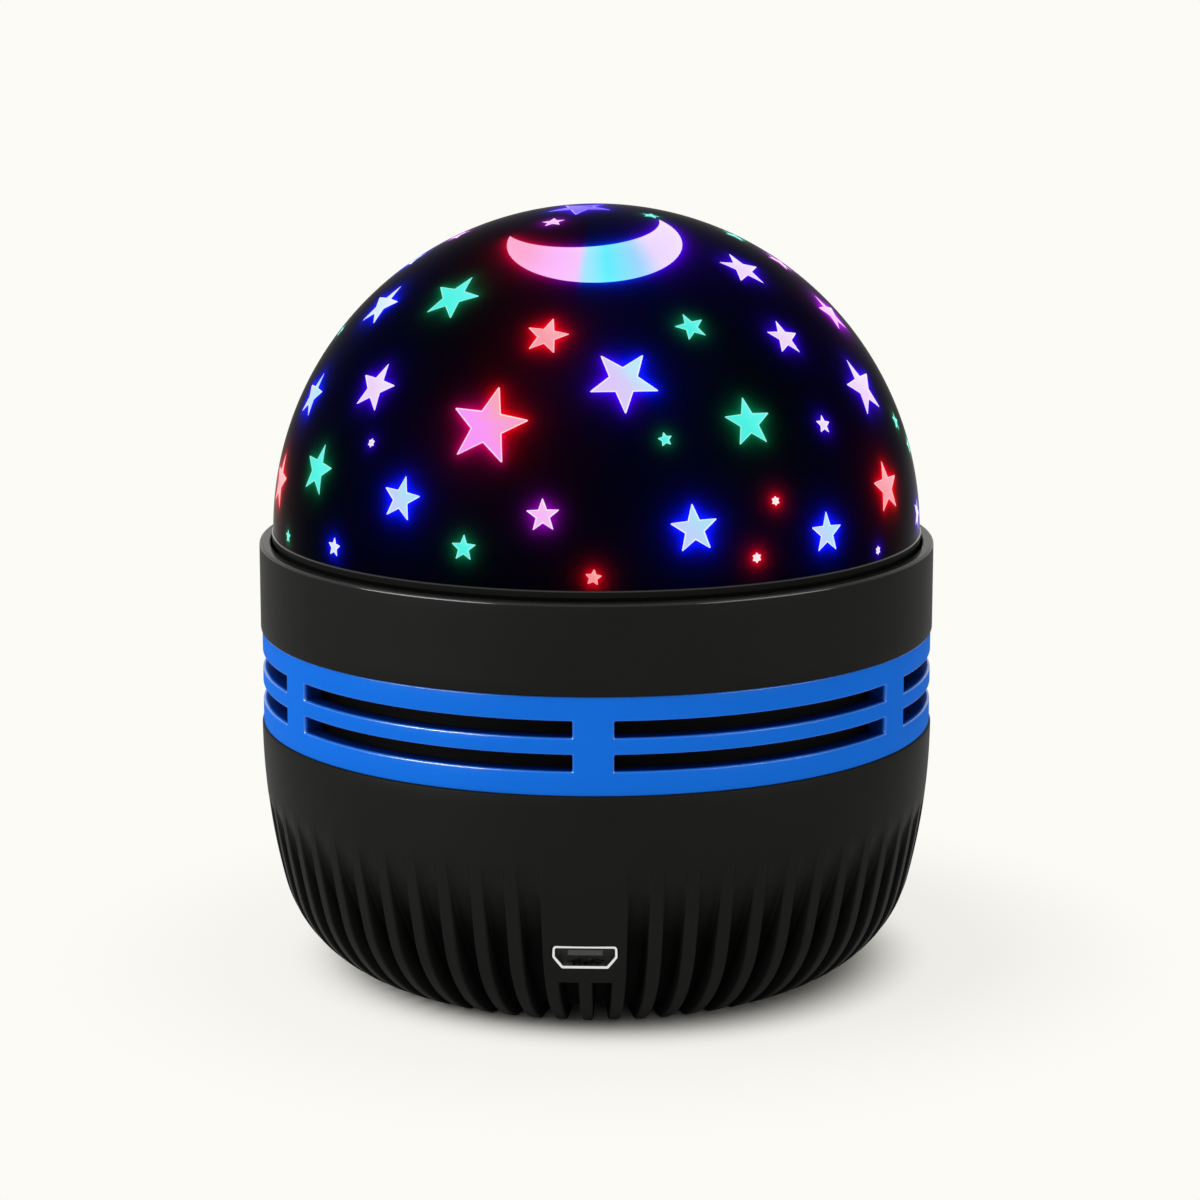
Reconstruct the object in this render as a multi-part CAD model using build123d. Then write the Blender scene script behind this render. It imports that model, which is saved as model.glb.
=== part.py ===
from build123d import *
from math import acos, asin, atan2, cos, hypot, pi, radians, sin, sqrt, tan
import os

# A star night light projector. Millimetres, +Z up, the table at z = 0, the upright
# axis of the dome at x = y = 0. The socket faces -Y and the mode button +Y.

# Housing, from the table up
BODY_R = 40.0  # base rim and collar, outside
BASE_H = 29.65  # table to the underside of the vent band
BAND_H = 11.25
COLLAR_H = 10.4
WALL = 1.8  # base shell
SIDE_DROP = 19.0  # height of the base's long side curve
SIDE_ARC_R = 78.0
RIB_LIFT = 0.2  # rib tips clear the table
RIB_FOOT_INSET = 11.8  # where the rib faces end, inside the body's face
HEEL_INSET = 15.75  # inner ends of the ribs, round the cover
BELLY_Z = 2.4  # underside between the ribs
BELLY_INSET = 10.7  # ring where the groove floors meet the underside
RIB_COUNT = 60
GROOVE_TOP = 8.7  # below the band, where the grooves run out
GROOVE_BULGE = 1.28  # of the groove floor's curve, off its chord
GROOVE_W_OUTER = 2.55
GROOVE_W_INNER = 1.42
GROOVE_RUN_OUT = 5.0  # degrees that the cutter's curve goes on above the groove
PAD_GROOVE_TOP = 7.15  # the grooves under a pad end at this height
SLEEVE_WALL = 1.5
SLEEVE_LAP = 4.6  # sleeve's height inside the collar
SLEEVE_PLAY = 0.3
BAND_WALL = 2.5
BAND_INSET = 0.18
BAND_FIT = 0.1
BAND_POSTS = 6
BAND_POST_W = 4.6
BAND_TURN = 1.5  # degrees, posts against the socket
SLOT_H = 1.92
BAND_BAR_H = 1.88
COLLAR_WALL = 1.35
RIM_ROUND = 0.35
BEAD = 0.35  # snap bead that holds the collar on the sleeve
BEAD_H = 1.2

# Dome
FOOT_GAP = 0.15  # running gap between the dome's foot ring and the collar
FOOT_RING = 0.15  # how far the foot ring stands out of the dome
FOOT_RING_RISE = 0.2  # its top above the dome's centre
FOOT_RING_DROP = 0.6  # its underside below the dome's centre
DOME_LIFT = 0.95  # centre of the dome above the collar's rim
DOME_SKIRT = 3.65
SKIRT_INSET = 0.35  # the skirt's face inside the dome's
SKIN_T = 1.2
LINER_T = 1.0
STAR_WAIST = 0.41  # star's inner radius over its tip radius
SPARK_WAIST = 0.6  # the same on the six-pointed ones
MOON_TO = (1.0, 71.3, 10.0)  # azimuth, elevation and radius of the full disc
MOON_BITE = (-12.0, 79.7, 8.9)  # the disc taken out of it
APEX_STAR = (-42.0, 86.0, 4.0, 0.0, 5)

# Half of the stars, as azimuth and elevation from the dome's centre in degrees, tip
# radius in mm, turn in degrees and number of tips. The other half lies opposite.
STARS = [
    (57.5, 78.5, 1.2, 60, 5),
    (-30.5, 76, 1.5, 45, 5),
    (91, 65, 2.0, 20, 5),
    (89.5, 56, 2.4, 24, 5),
    (56, 57.5, 3.1, 18, 5),
    (-40, 51, 3.6, 6, 5),
    (-67, 46.5, 3.3, -3, 5),
    (80, 43.5, 3.0, 10, 5),
    (25, 45.5, 2.0, -12, 5),
    (-84, 38.5, 1.2, 0, 5),
    (-9.5, 44, 2.6, 9, 5),
    (49.5, 41.5, 2.5, 9, 5),
    (7.5, 35.5, 4.1, 36, 5),
    (-47.5, 31.5, 3.2, 6, 5),
    (68, 29.5, 3.8, -3, 5),
    (-71.5, 27, 3.0, 0, 5),
    (79, 21.5, 1.3, 18, 5),
    (85.5, 16, 1.6, 0, 5),
    (31.5, 27, 3.1, 0, 5),
    (49, 25, 1.2, 9, 5),
    (-18.5, 27, 4.8, 6, 5),
    (14.5, 25, 0.9, -9, 5),
    (-43, 22, 0.6, 0, 6),
    (-57, 15.5, 3.2, 6, 5),
    (-76, 10.5, 3.6, 3, 5),
    (64, 12, 3.2, 0, 5),
    (34, 13.5, 0.6, 0, 6),
    (-33.5, 13.5, 2.7, 6, 5),
    (81, 4.5, 2.2, 24, 5),
    (-7, 12.5, 2.0, -3, 5),
    (18.5, 10, 2.9, -3, 5),
    (44.5, 7, 2.5, 3, 5),
    (-66, 2.5, 0.9, 0, 5),
    (-48.5, 3.5, 1.2, 3, 5),
    (-20.5, 6.5, 1.6, 0, 5),
    (58.5, 2, 0.6, 0, 6),
    (29.5, 4.5, 0.65, 0, 6),
    (1.5, 2.5, 1.0, 6, 5),
]

# Turntable and its drive
PLATE_T = 1.6
FLANGE_T = 1.6
FLANGE_INSET = 0.1  # flange's edge inside the skirt's face
PLATE_FIT = 0.05
MODULE = 0.8
RING_TEETH = 70
PINION_TEETH = 14
PRESSURE_ANGLE = 20.0
GEAR_PLAY = 0.2  # backlash on the pitch circle
GEAR_W = 4.0
RING_WALL = 2.0  # outside the ring gear's roots
GEAR_DROP = 0.4  # pinion's top below the plate
PINION_RISE = 0.6  # pinion's underside above the gearbox
HUB_WALL = 1.6
HUB_DROP = 3.2
BUSH_WALL = 1.45
BUSH_FLANGE_T = 0.8
SHAFT_CLEAR = 0.05
AXIAL_PLAY = 0.1

# Lamp column, lamp and gear motor
COLUMN_R = 5.5
COLUMN_BORE_R = 3.5
SHOULDER_W = 1.5
COLUMN_FLANGE_R = 11.0
COLUMN_FLANGE_T = 2.0
COLUMN_SCREW_R = 8.9
COLUMN_SCREWS = 3
WASHER_T = 0.6
CLIP_T = 0.8
CLIP_DEPTH = 0.6
CLIP_R = 7.2
LAMP_SCREW_BITE = 1.2
LAMP_SCREW_FLOOR = 0.3  # column left between those screws and the clip
LAMP_BOARD_R = 9.0
LAMP_BOARD_T = 1.0
LED_SIZE = 3.2
LED_H = 1.0
LED_DOME_R = 1.2
LED_CIRCLE_R = 5.7
LENS_R = 8.8
LENS_WALL = 1.0
LENS_SIDE_H = 2.0
LENS_CROWN = 2.6
WIRE_R = 0.4
LED_WIRES = 5
LED_WIRE_CIRCLE_R = 2.0
MOTOR_W = 12.0
MOTOR_D = 10.0
GEARBOX_L = 9.0
CAN_L = 15.0
MOTOR_CAP_L = 2.0
SHAFT_R = 1.5
SHAFT_FLAT = 0.5
SHAFT_ROOT = 2.0  # shaft's length inside the gearbox
BRACKET_WALL = 1.4
BRACKET_DROP = 3.0  # its top below the gearbox's
BRACKET_FIT = 0.05
BRACKET_FOOT_L = 5.0
BRACKET_FOOT_W = 7.0
BRACKET_FOOT_T = 1.6
TERMINAL = (0.4, 1.5, 2.0)
TERMINAL_SPACING = 5.0

# Deck, board, socket and button
DECK_INSET = 7.0  # its edge inside the body's face
DECK_T = 2.0
DECK_EDGE = 3.7  # from its edge to its screws
DECK_POST_R = 2.6
DECK_POST_ANGLES = (35, 145, 215, 325)
BOARD_GAP = 0.7  # to the deck's posts
BOARD_EDGE = 2.8
BOARD_T = 1.2
BOARD_LIFT = 1.9  # over the base's floor
BOARD_POST_R = 2.2
BOARD_POST_ANGLES = (65, 115, 245, 295)
TAB_W = 9.0
TAB_GAP = 1.7  # to the end of its pocket
POCKET_PLAY = 0.2
PAD_SKIN = 2.0  # from the pocket's end to the socket's face
POCKET_BELOW = 0.5  # under the board
POCKET_H = 6.0
SOCKET_W = 7.4
SOCKET_FOOT_W = 5.2
SOCKET_H = 2.7
SOCKET_SIDE_H = 1.4
SOCKET_T = 0.35
SOCKET_L = 5.4
SOCKET_INSET = 2.8  # its mouth inside the body's radius
SOCKET_PLAY = 0.15
TONGUE = (3.9, 3.4, 0.6)
TONGUE_DROP = 0.35
INSULATOR_L = 1.4
CONTACTS = 5
CONTACT_PITCH = 0.65
CONTACT = (0.35, 3.0, 0.15)
BUTTON_W = 5.0
BUTTON_H = 2.6
BUTTON_PROUD = 1.2  # beyond the socket's face radius
BUTTON_PLAY = 0.15
BUTTON_TRAVEL = 0.5
BUTTON_LIP = 0.8
BUTTON_ROUND = 0.4
BUTTON_GAP = 0.1  # flange to the wall
SWITCH = (6.0, 3.5, 3.6)
SWITCH_GAP = 1.3  # switch's face to the button's flange
PLUNGER_R = 1.0
PLUNGER_ROOT = 0.6
CHIP = (5.0, 4.0, 1.4)
CHIP_LEGS = 4
CHIP_LEG = (0.4, 0.8, 0.5)
CHIP_PITCH = 1.1
CHIP_AT = (-12.0, 8.0)
CAPACITOR_R = 2.5
CAPACITOR_H = 5.0
CAPACITOR_AT = (-12.0, -8.0)
CAPACITOR_CLEAR = 0.6  # round it, in the deck's opening over it
RESISTOR = (1.6, 0.8, 0.5)
RESISTOR_PITCH = 1.8
RESISTORS = 5
RESISTOR_AT = (9.0, -10.0)

# Cover, feet and screws
COVER_T = 1.8
COVER_GAP = 0.15
COVER_SCREW_INSET = 3.5
LEDGE_W = 6.3
COVER_SCREWS = 4
COVER_BOSS_R = 2.4
COVER_BOSS_GAP = 0.3
FOOT_R = 4.0
FOOT_SINK = 0.4
FOOT_INSET = 7.6  # from the cover's edge
FEET = 4
SCREW_R = 1.1
SCREW_HEAD_R = 1.9
SCREW_HEAD_H = 1.1
RECESS_REACH, RECESS_HALF_W = 0.7, 0.14  # arms of a cross recess over the head's radius
RECESS_FLOOR = 0.4  # its floor over the head's height
SMALL_SCREW_R = 0.8
SMALL_HEAD_R = 1.5
SMALL_HEAD_H = 0.9
TINY_SCREW_R = 0.5
TINY_HEAD_R = 0.95
TINY_HEAD_H = 0.5
HOLE_CLEAR = 0.15
HEAD_CLEAR = 0.2
SCREW_BITE = 3.0
DECK_SCREW_BITE = 6.0

# Levels and radii that follow
BAND_Z = BASE_H
COLLAR_Z = BAND_Z + BAND_H
RIM_Z = COLLAR_Z + COLLAR_H
SLEEVE_TOP = COLLAR_Z + SLEEVE_LAP
SLEEVE_R = BODY_R - BAND_INSET - BAND_WALL - BAND_FIT
FOOT_RING_R = BODY_R - COLLAR_WALL - FOOT_GAP
DOME_R = FOOT_RING_R - FOOT_RING
SKIRT_R = DOME_R - SKIRT_INSET
DOME_Z = RIM_Z + DOME_LIFT
SEAT_Z = DOME_Z - DOME_SKIRT
LINER_R = DOME_R - SKIN_T
LINER_IN_R = LINER_R - LINER_T
LEAN = asin(SIDE_DROP / SIDE_ARC_R)
SIDE_FOOT_R = BODY_R - SIDE_ARC_R * (1 - cos(LEAN))
SIDE_FOOT_Z = BASE_H - SIDE_DROP
RIB_FOOT_R = BODY_R - RIB_FOOT_INSET
HEEL_R = BODY_R - HEEL_INSET
BELLY_R = BODY_R - BELLY_INSET
GROOVE_TOP_Z = BASE_H - GROOVE_TOP
GROOVE_TOP_R = BODY_R - SIDE_ARC_R + sqrt(SIDE_ARC_R**2 - GROOVE_TOP**2)
COVER_R = HEEL_R - COVER_GAP
COVER_TOP = BELLY_Z + COVER_T
FLOOR_Z = COVER_TOP + WALL
LEDGE_R = COVER_R - LEDGE_W
COVER_SCREW_R = COVER_R - COVER_SCREW_INSET
FOOT_CIRCLE_R = COVER_R - FOOT_INSET
BOARD_Z = FLOOR_Z + BOARD_LIFT
BOARD_TOP = BOARD_Z + BOARD_T
SOCKET_Z = BOARD_TOP + SOCKET_H / 2
SOCKET_FACE = BODY_R - SOCKET_INSET
POCKET_REACH = SOCKET_FACE - PAD_SKIN
TAB_REACH = POCKET_REACH - TAB_GAP
DECK_R = BODY_R - DECK_INSET
DECK_POST_CIRCLE_R = DECK_R - DECK_EDGE
BOARD_R = DECK_POST_CIRCLE_R - DECK_POST_R - BOARD_GAP
BOARD_POST_CIRCLE_R = BOARD_R - BOARD_EDGE
PINION_TOP = SEAT_Z - GEAR_DROP
GEARBOX_TOP = PINION_TOP - GEAR_W - PINION_RISE
CAN_TOP = GEARBOX_TOP - GEARBOX_L
CAN_Z = CAN_TOP - CAN_L
DECK_TOP = CAN_Z - MOTOR_CAP_L
DECK_Z = DECK_TOP - DECK_T
GEAR_CENTRE = MODULE * (RING_TEETH - PINION_TEETH) / 2
RING_R = MODULE * RING_TEETH / 2
PINION_R = MODULE * PINION_TEETH / 2
RING_ROOT_R = RING_R + 1.25 * MODULE
RING_TIP_R = RING_R - MODULE
BUSH_R = COLUMN_R + SHAFT_CLEAR + BUSH_WALL
HUB_R = BUSH_R + HUB_WALL
HUB_Z = SEAT_Z - HUB_DROP
PLATE_TOP = SEAT_Z + PLATE_T
SHOULDER_Z = HUB_Z - BUSH_FLANGE_T - AXIAL_PLAY - WASHER_T
CLIP_Z = PLATE_TOP + AXIAL_PLAY
LAMP_Z = CLIP_Z + CLIP_T + LAMP_SCREW_FLOOR + LAMP_SCREW_BITE
LAMP_TOP = LAMP_Z + LAMP_BOARD_T


def ring(outer, inner, low, high):
    return Pos(0, 0, low) * extrude(Circle(outer) - Circle(inner), high - low)


def disc(radius, low, high):
    return Pos(0, 0, low) * extrude(Circle(radius), high - low)


def block(x_from, x_to, y_from, y_to, low, high):
    return Pos(x_from, y_from, low) * Box(x_to - x_from, y_to - y_from, high - low,
                                          align=(Align.MIN, Align.MIN, Align.MIN))


def turned(*edges):
    """Solid of revolution about Z from the edges of a closed outline in the XZ plane."""
    return revolve(make_face(Wire(edges)), Axis.Z)


def path(*points):
    """Straight edges through (radius, height) points."""
    return Polyline(*[(r, 0, z) for r, z in points]).edges()


def arc_about(centre, radius, start, end):
    """Arc in the XZ plane from angle start to angle end, in radians."""
    at = [(centre[0] + radius * cos(a), 0, centre[1] + radius * sin(a))
          for a in (start, (start + end) / 2, end)]
    return ThreePointArc(*at).edge()


def around(solid, angles):
    return [Rot(0, 0, a) * solid for a in angles]


def spaced(count, first=0):
    return [first + 360 * i / count for i in range(count)]


def at_circle(solid, radius, angles):
    return around(Pos(radius, 0, 0) * solid, angles)


def screw(shank_r, head_r, head_h, length):
    """Pan-head screw pointing down, underside of its head at z = 0, with a cross recess."""
    body = disc(head_r, 0, head_h) + disc(shank_r, -length, 0)
    reach, half, low = RECESS_REACH * head_r, RECESS_HALF_W * head_r, RECESS_FLOOR * head_h
    cross = block(-reach, reach, -half, half, low, head_h)
    cross += block(-half, half, -reach, reach, low, head_h)
    return body - cross


def write(name, *solids):
    """Writes one sub-part, a group of solids or a single one."""
    shape = solids[0] if len(solids) == 1 else Compound(list(solids))
    export_step(shape, f"parts/{name}.step")


# ---- Base shell ----

def groove_circle():
    """Centre, radius and end angles of the groove floor's curve."""
    dr, dz = GROOVE_TOP_R - BELLY_R, GROOVE_TOP_Z - BELLY_Z
    chord = hypot(dr, dz)
    radius = chord**2 / (8 * GROOVE_BULGE) + GROOVE_BULGE / 2
    back = radius - GROOVE_BULGE
    centre = ((GROOVE_TOP_R + BELLY_R) / 2 - back * dz / chord,
              (GROOVE_TOP_Z + BELLY_Z) / 2 + back * dr / chord)
    top = atan2(GROOVE_TOP_Z - centre[1], GROOVE_TOP_R - centre[0])
    foot = atan2(BELLY_Z - centre[1], BELLY_R - centre[0])
    return centre, radius, top, foot


def heel_arc():
    """Arc that goes on smoothly from the side curve to the ribs' feet."""
    run, fall = SIDE_FOOT_R - RIB_FOOT_R, SIDE_FOOT_Z - RIB_LIFT
    radius = (run**2 + fall**2) / 2 / (run * cos(LEAN) - fall * sin(LEAN))
    centre = (SIDE_FOOT_R - radius * cos(LEAN), SIDE_FOOT_Z + radius * sin(LEAN))
    return arc_about(centre, radius, -LEAN, -acos((RIB_FOOT_R - centre[0]) / radius))


def shell_blank():
    """The base shell as turned, before its grooves, posts and holes."""
    outer = arc_about((BODY_R - SIDE_ARC_R, BASE_H), SIDE_ARC_R, 0, -LEAN)
    centre, radius, top, _ = groove_circle()
    inner_r = radius - WALL
    floor_angle = asin((FLOOR_Z - centre[1]) / inner_r)
    cavity = arc_about(centre, inner_r, floor_angle, top)
    sleeve_in = SLEEVE_R - SLEEVE_WALL
    bead_z = COLLAR_Z + SLEEVE_LAP / 2
    return turned(
        *path((SLEEVE_R, SLEEVE_TOP), (SLEEVE_R, bead_z + BEAD_H / 2),
              (SLEEVE_R + BEAD, bead_z), (SLEEVE_R, bead_z - BEAD_H / 2),
              (SLEEVE_R, BASE_H), (BODY_R, BASE_H)),
        outer, heel_arc(),
        *path((RIB_FOOT_R, RIB_LIFT), (HEEL_R, RIB_LIFT), (HEEL_R, COVER_TOP),
              (LEDGE_R, COVER_TOP),
              (LEDGE_R, FLOOR_Z), (centre[0] + inner_r * cos(floor_angle), FLOOR_Z)),
        cavity,
        *path((centre[0] + inner_r * cos(top), centre[1] + inner_r * sin(top)),
              (BODY_R - 2 * WALL, BASE_H - 2 * WALL), (sleeve_in, BASE_H - WALL),
              (sleeve_in, SLEEVE_TOP), (SLEEVE_R, SLEEVE_TOP)))


def groove():
    """Cutter for one groove on the +X side, narrower towards the heel."""
    centre, radius, top, foot = groove_circle()
    run_out = top + radians(GROOVE_RUN_OUT)
    start = (centre[0] + radius * cos(run_out), centre[1] + radius * sin(run_out))
    outside, inside, below = BODY_R + 2, HEEL_R - 1, -1
    profile = [arc_about(centre, radius, run_out, foot),
               *path((BELLY_R, BELLY_Z), (inside, BELLY_Z), (inside, below),
                     (outside, below), (outside, start[1]), start)]
    slab = extrude(make_face(Wire(profile)), GROOVE_W_OUTER, both=True)
    slope = (GROOVE_W_OUTER - GROOVE_W_INNER) / 2 / (BODY_R - HEEL_R)
    half_out = GROOVE_W_OUTER / 2 + slope * (outside - BODY_R)
    half_in = GROOVE_W_INNER / 2 + slope * (inside - HEEL_R)
    plan = make_face(Polyline((inside, -half_in), (outside, -half_out),
                              (outside, half_out), (inside, half_in), close=True))
    return slab & Pos(0, 0, below) * extrude(plan, BASE_H)


def pocket():
    """Space behind the pad on the +Y side for the board's tab and what it carries."""
    half, low = TAB_W / 2 + POCKET_PLAY, BOARD_Z - POCKET_BELOW
    return block(-half, half, BOARD_R, POCKET_REACH, low, low + POCKET_H)


def post(radius, low, high, hole_r, hole_low):
    return disc(radius, low, high), disc(hole_r, hole_low, high)


def base_shell():
    long_groove = groove()
    short_groove = long_groove & disc(2 * BODY_R, -2, PAD_GROOVE_TOP)
    pitch = 360 / RIB_COUNT
    beside_a_pad = (0, RIB_COUNT // 2 - 1, RIB_COUNT // 2, RIB_COUNT - 1)
    cutters = []
    for i in range(RIB_COUNT):
        cutter = short_groove if i in beside_a_pad else long_groove
        cutters.append(Rot(0, 0, -90 + (i + 0.5) * pitch) * cutter)
    shell = shell_blank() - cutters
    root = (COVER_TOP + FLOOR_Z) / 2
    deck_post, deck_hole = post(DECK_POST_R, root, DECK_Z, SCREW_R,
                                DECK_Z - DECK_SCREW_BITE - SCREW_R)
    board_post, board_hole = post(BOARD_POST_R, root, BOARD_Z, SMALL_SCREW_R,
                                  BOARD_Z - SCREW_BITE)
    boss_top = BOARD_Z - COVER_BOSS_GAP
    boss, boss_hole = post(COVER_BOSS_R, COVER_TOP, boss_top, SCREW_R, COVER_TOP)
    shell += at_circle(deck_post, DECK_POST_CIRCLE_R, DECK_POST_ANGLES)
    shell += at_circle(board_post, BOARD_POST_CIRCLE_R, BOARD_POST_ANGLES)
    shell += at_circle(boss, COVER_SCREW_R, spaced(COVER_SCREWS))
    holes = at_circle(deck_hole, DECK_POST_CIRCLE_R, DECK_POST_ANGLES)
    holes += at_circle(board_hole, BOARD_POST_CIRCLE_R, BOARD_POST_ANGLES)
    holes += at_circle(boss_hole, COVER_SCREW_R, spaced(COVER_SCREWS))
    holes += around(pocket(), (0, 180))
    mouth = socket_outline(SOCKET_PLAY)
    holes.append(Pos(0, -POCKET_REACH + 1, SOCKET_Z) * extrude(mouth, 2 * WALL + 3))
    holes.append(Pos(0, POCKET_REACH - 1, SOCKET_Z)
                 * extrude(button_outline(BUTTON_PLAY), -2 * WALL - 3))
    return shell - holes


# ---- Vent band and collar ----

def vent_band():
    inner, outer = SLEEVE_R + BAND_FIT, BODY_R - BAND_INSET
    band = ring(outer, inner, BAND_Z, COLLAR_Z)
    middle = (BAND_Z + COLLAR_Z) / 2
    posts = [Rot(0, 0, BAND_TURN + 90 + 180 * i / (BAND_POSTS / 2))
             * Box(3 * BODY_R, BAND_POST_W, BAND_H) for i in range(BAND_POSTS // 2)]
    for side in (-1, 1):
        centre = middle + side * (BAND_BAR_H + SLOT_H) / 2
        slot = ring(outer + 1, inner - 1, centre - SLOT_H / 2, centre + SLOT_H / 2)
        band -= slot - [Pos(0, 0, centre) * p for p in posts]
    return band


def collar():
    lower_in, upper_in = SLEEVE_R + BAND_FIT, BODY_R - COLLAR_WALL
    ledge = SLEEVE_TOP + SLEEVE_PLAY
    bead_z = COLLAR_Z + SLEEVE_LAP / 2
    rim = arc_about((BODY_R - RIM_ROUND, RIM_Z - RIM_ROUND), RIM_ROUND, 0, pi / 2)
    return turned(
        *path((lower_in, COLLAR_Z), (BODY_R, COLLAR_Z), (BODY_R, RIM_Z - RIM_ROUND)), rim,
        *path((BODY_R - RIM_ROUND, RIM_Z), (upper_in, RIM_Z), (upper_in, ledge),
              (lower_in, ledge), (lower_in, bead_z + BEAD_H / 2),
              (lower_in + BEAD, bead_z), (lower_in, bead_z - BEAD_H / 2),
              (lower_in, COLLAR_Z)))


# ---- Dome ----

def dome_blank(inner):
    """Half sphere with a foot ring and a straight skirt, hollow to an inner radius."""
    centre, low = (0, DOME_Z), DOME_Z - FOOT_RING_DROP
    ring_angle = asin(FOOT_RING_RISE / DOME_R)
    ring_start = DOME_R * cos(ring_angle)
    edge = FOOT_RING_R - ring_start
    shoulder = DOME_Z + FOOT_RING_RISE - edge
    return turned(
        arc_about(centre, DOME_R, pi / 2, ring_angle),
        arc_about((ring_start, shoulder), edge, pi / 2, 0),
        *path((FOOT_RING_R, shoulder), (FOOT_RING_R, low), (SKIRT_R, low),
              (SKIRT_R, SEAT_Z), (inner, SEAT_Z), (inner, DOME_Z)),
        arc_about(centre, inner, 0, pi / 2),
        *path((0, DOME_Z + inner), (0, DOME_Z + DOME_R)))


def on_dome(azimuth, elevation, radius):
    """Plane that faces out of the dome, its Y up the dome. Azimuth 0 is the front."""
    a, e = radians(azimuth), radians(elevation)
    out = Vector(sin(a) * cos(e), -cos(a) * cos(e), sin(e))
    return Plane(origin=Vector(0, 0, DOME_Z) + out * radius,
                 x_dir=(cos(a), sin(a), 0), z_dir=out)


def star(azimuth, elevation, tip_r, turn, tips):
    """Cutter through the skin in the shape of a star."""
    low = LINER_R - LINER_T / 2
    corners = []
    for i in range(2 * tips):
        r = tip_r if i % 2 == 0 else tip_r * (STAR_WAIST if tips == 5 else SPARK_WAIST)
        a = pi / 2 - radians(turn) - i * pi / tips
        corners.append((r * cos(a), r * sin(a)))
    face = make_face(Polyline(*corners, close=True))
    return on_dome(azimuth, elevation, low) * extrude(face, DOME_R + 1 - low)


def moon(turn):
    """Cutter in the shape of a crescent: a full disc less a second one."""
    discs = []
    for azimuth, elevation, radius in (MOON_TO, MOON_BITE):
        plane = on_dome(azimuth + turn, elevation, 0)
        discs.append(plane * disc(radius, DOME_R - 4 * SKIN_T, DOME_R + SKIN_T))
    return discs[0] - discs[1]


def openings():
    cutters = [star(*APEX_STAR)]
    for half_turn in (0, 180):
        cutters.append(moon(half_turn))
        cutters += [star(a + half_turn, e, r, turn, tips) for a, e, r, turn, tips in STARS]
    return cutters


def dome_skin():
    return dome_blank(LINER_R) - openings()


def star_windows(skin):
    """Clear liner whose windows stand in the skin's openings, flush with its face."""
    return dome_blank(LINER_IN_R) - skin


# ---- Turntable, its gear and its bearing ----

def involute(angle):
    return tan(angle) - angle


def tooth_half_angle(teeth, radius, thicker):
    """Half the angle of a gear tooth at a radius, in radians."""
    pitch_r = MODULE * teeth / 2
    pressure = radians(PRESSURE_ANGLE)
    base_r = pitch_r * cos(pressure)
    here = acos(min(1, base_r / radius))
    return pi / (2 * teeth) + thicker / (2 * pitch_r) + involute(pressure) - involute(here)


def gear_outline(teeth, root_r, tip_r, flank, thicker):
    """Face of a gear with a tooth centred on +X. flank lists its radii, root to tip."""
    corners = []
    for i in range(teeth):
        middle = 2 * pi * i / teeth
        rise = [(r, -tooth_half_angle(teeth, r, thicker)) for r in flank]
        fall = [(r, -a) for r, a in reversed(rise)]
        foot = [(root_r, rise[0][1])], [(root_r, fall[-1][1])]
        for r, a in foot[0] + rise + fall + foot[1]:
            corners.append((r * cos(middle + a), r * sin(middle + a)))
    return make_face(Polyline(*corners, close=True))


def turntable():
    outer = SKIRT_R - FLANGE_INSET
    gear_r = RING_ROOT_R + RING_WALL
    gear_z = PINION_TOP - GEAR_W
    body = turned(*path(
        (BUSH_R, PLATE_TOP), (LINER_IN_R - PLATE_FIT, PLATE_TOP),
        (LINER_IN_R - PLATE_FIT, SEAT_Z), (outer, SEAT_Z), (outer, SEAT_Z - FLANGE_T),
        (gear_r, SEAT_Z - FLANGE_T), (gear_r, gear_z), (RING_TIP_R - MODULE, gear_z),
        (RING_TIP_R - MODULE, SEAT_Z), (HUB_R, SEAT_Z), (HUB_R, HUB_Z), (BUSH_R, HUB_Z),
        (BUSH_R, PLATE_TOP)))
    spaces = gear_outline(RING_TEETH, RING_TIP_R - MODULE / 4, RING_ROOT_R,
                          (RING_TIP_R, RING_ROOT_R), GEAR_PLAY / 2)
    return body - Pos(0, 0, gear_z) * extrude(spaces, SEAT_Z - gear_z)


def hub_bush():
    low, run_r = HUB_Z - BUSH_FLANGE_T, COLUMN_R + SHAFT_CLEAR
    return turned(*path((run_r, low), (HUB_R, low), (HUB_R, HUB_Z), (BUSH_R, HUB_Z),
                        (BUSH_R, PLATE_TOP), (run_r, PLATE_TOP), (run_r, low)))


def pinion():
    tip, base = PINION_R + MODULE, PINION_R * cos(radians(PRESSURE_ANGLE))
    steps = 3
    flank = [base + (tip - base) * i / steps for i in range(steps + 1)]
    outline = gear_outline(PINION_TEETH, PINION_R - 1.25 * MODULE, tip, flank,
                           -GEAR_PLAY / 2)
    gear = Pos(GEAR_CENTRE, 0, PINION_TOP - GEAR_W) * extrude(outline, GEAR_W)
    return gear - output_shaft()


def output_shaft():
    round_part = disc(SHAFT_R, GEARBOX_TOP - SHAFT_ROOT, PINION_TOP)
    flat = block(SHAFT_R - SHAFT_FLAT, 2 * SHAFT_R, -SHAFT_R, SHAFT_R,
                 GEARBOX_TOP + PINION_RISE, PINION_TOP)
    return Pos(GEAR_CENTRE, 0, 0) * (round_part - flat)


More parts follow.
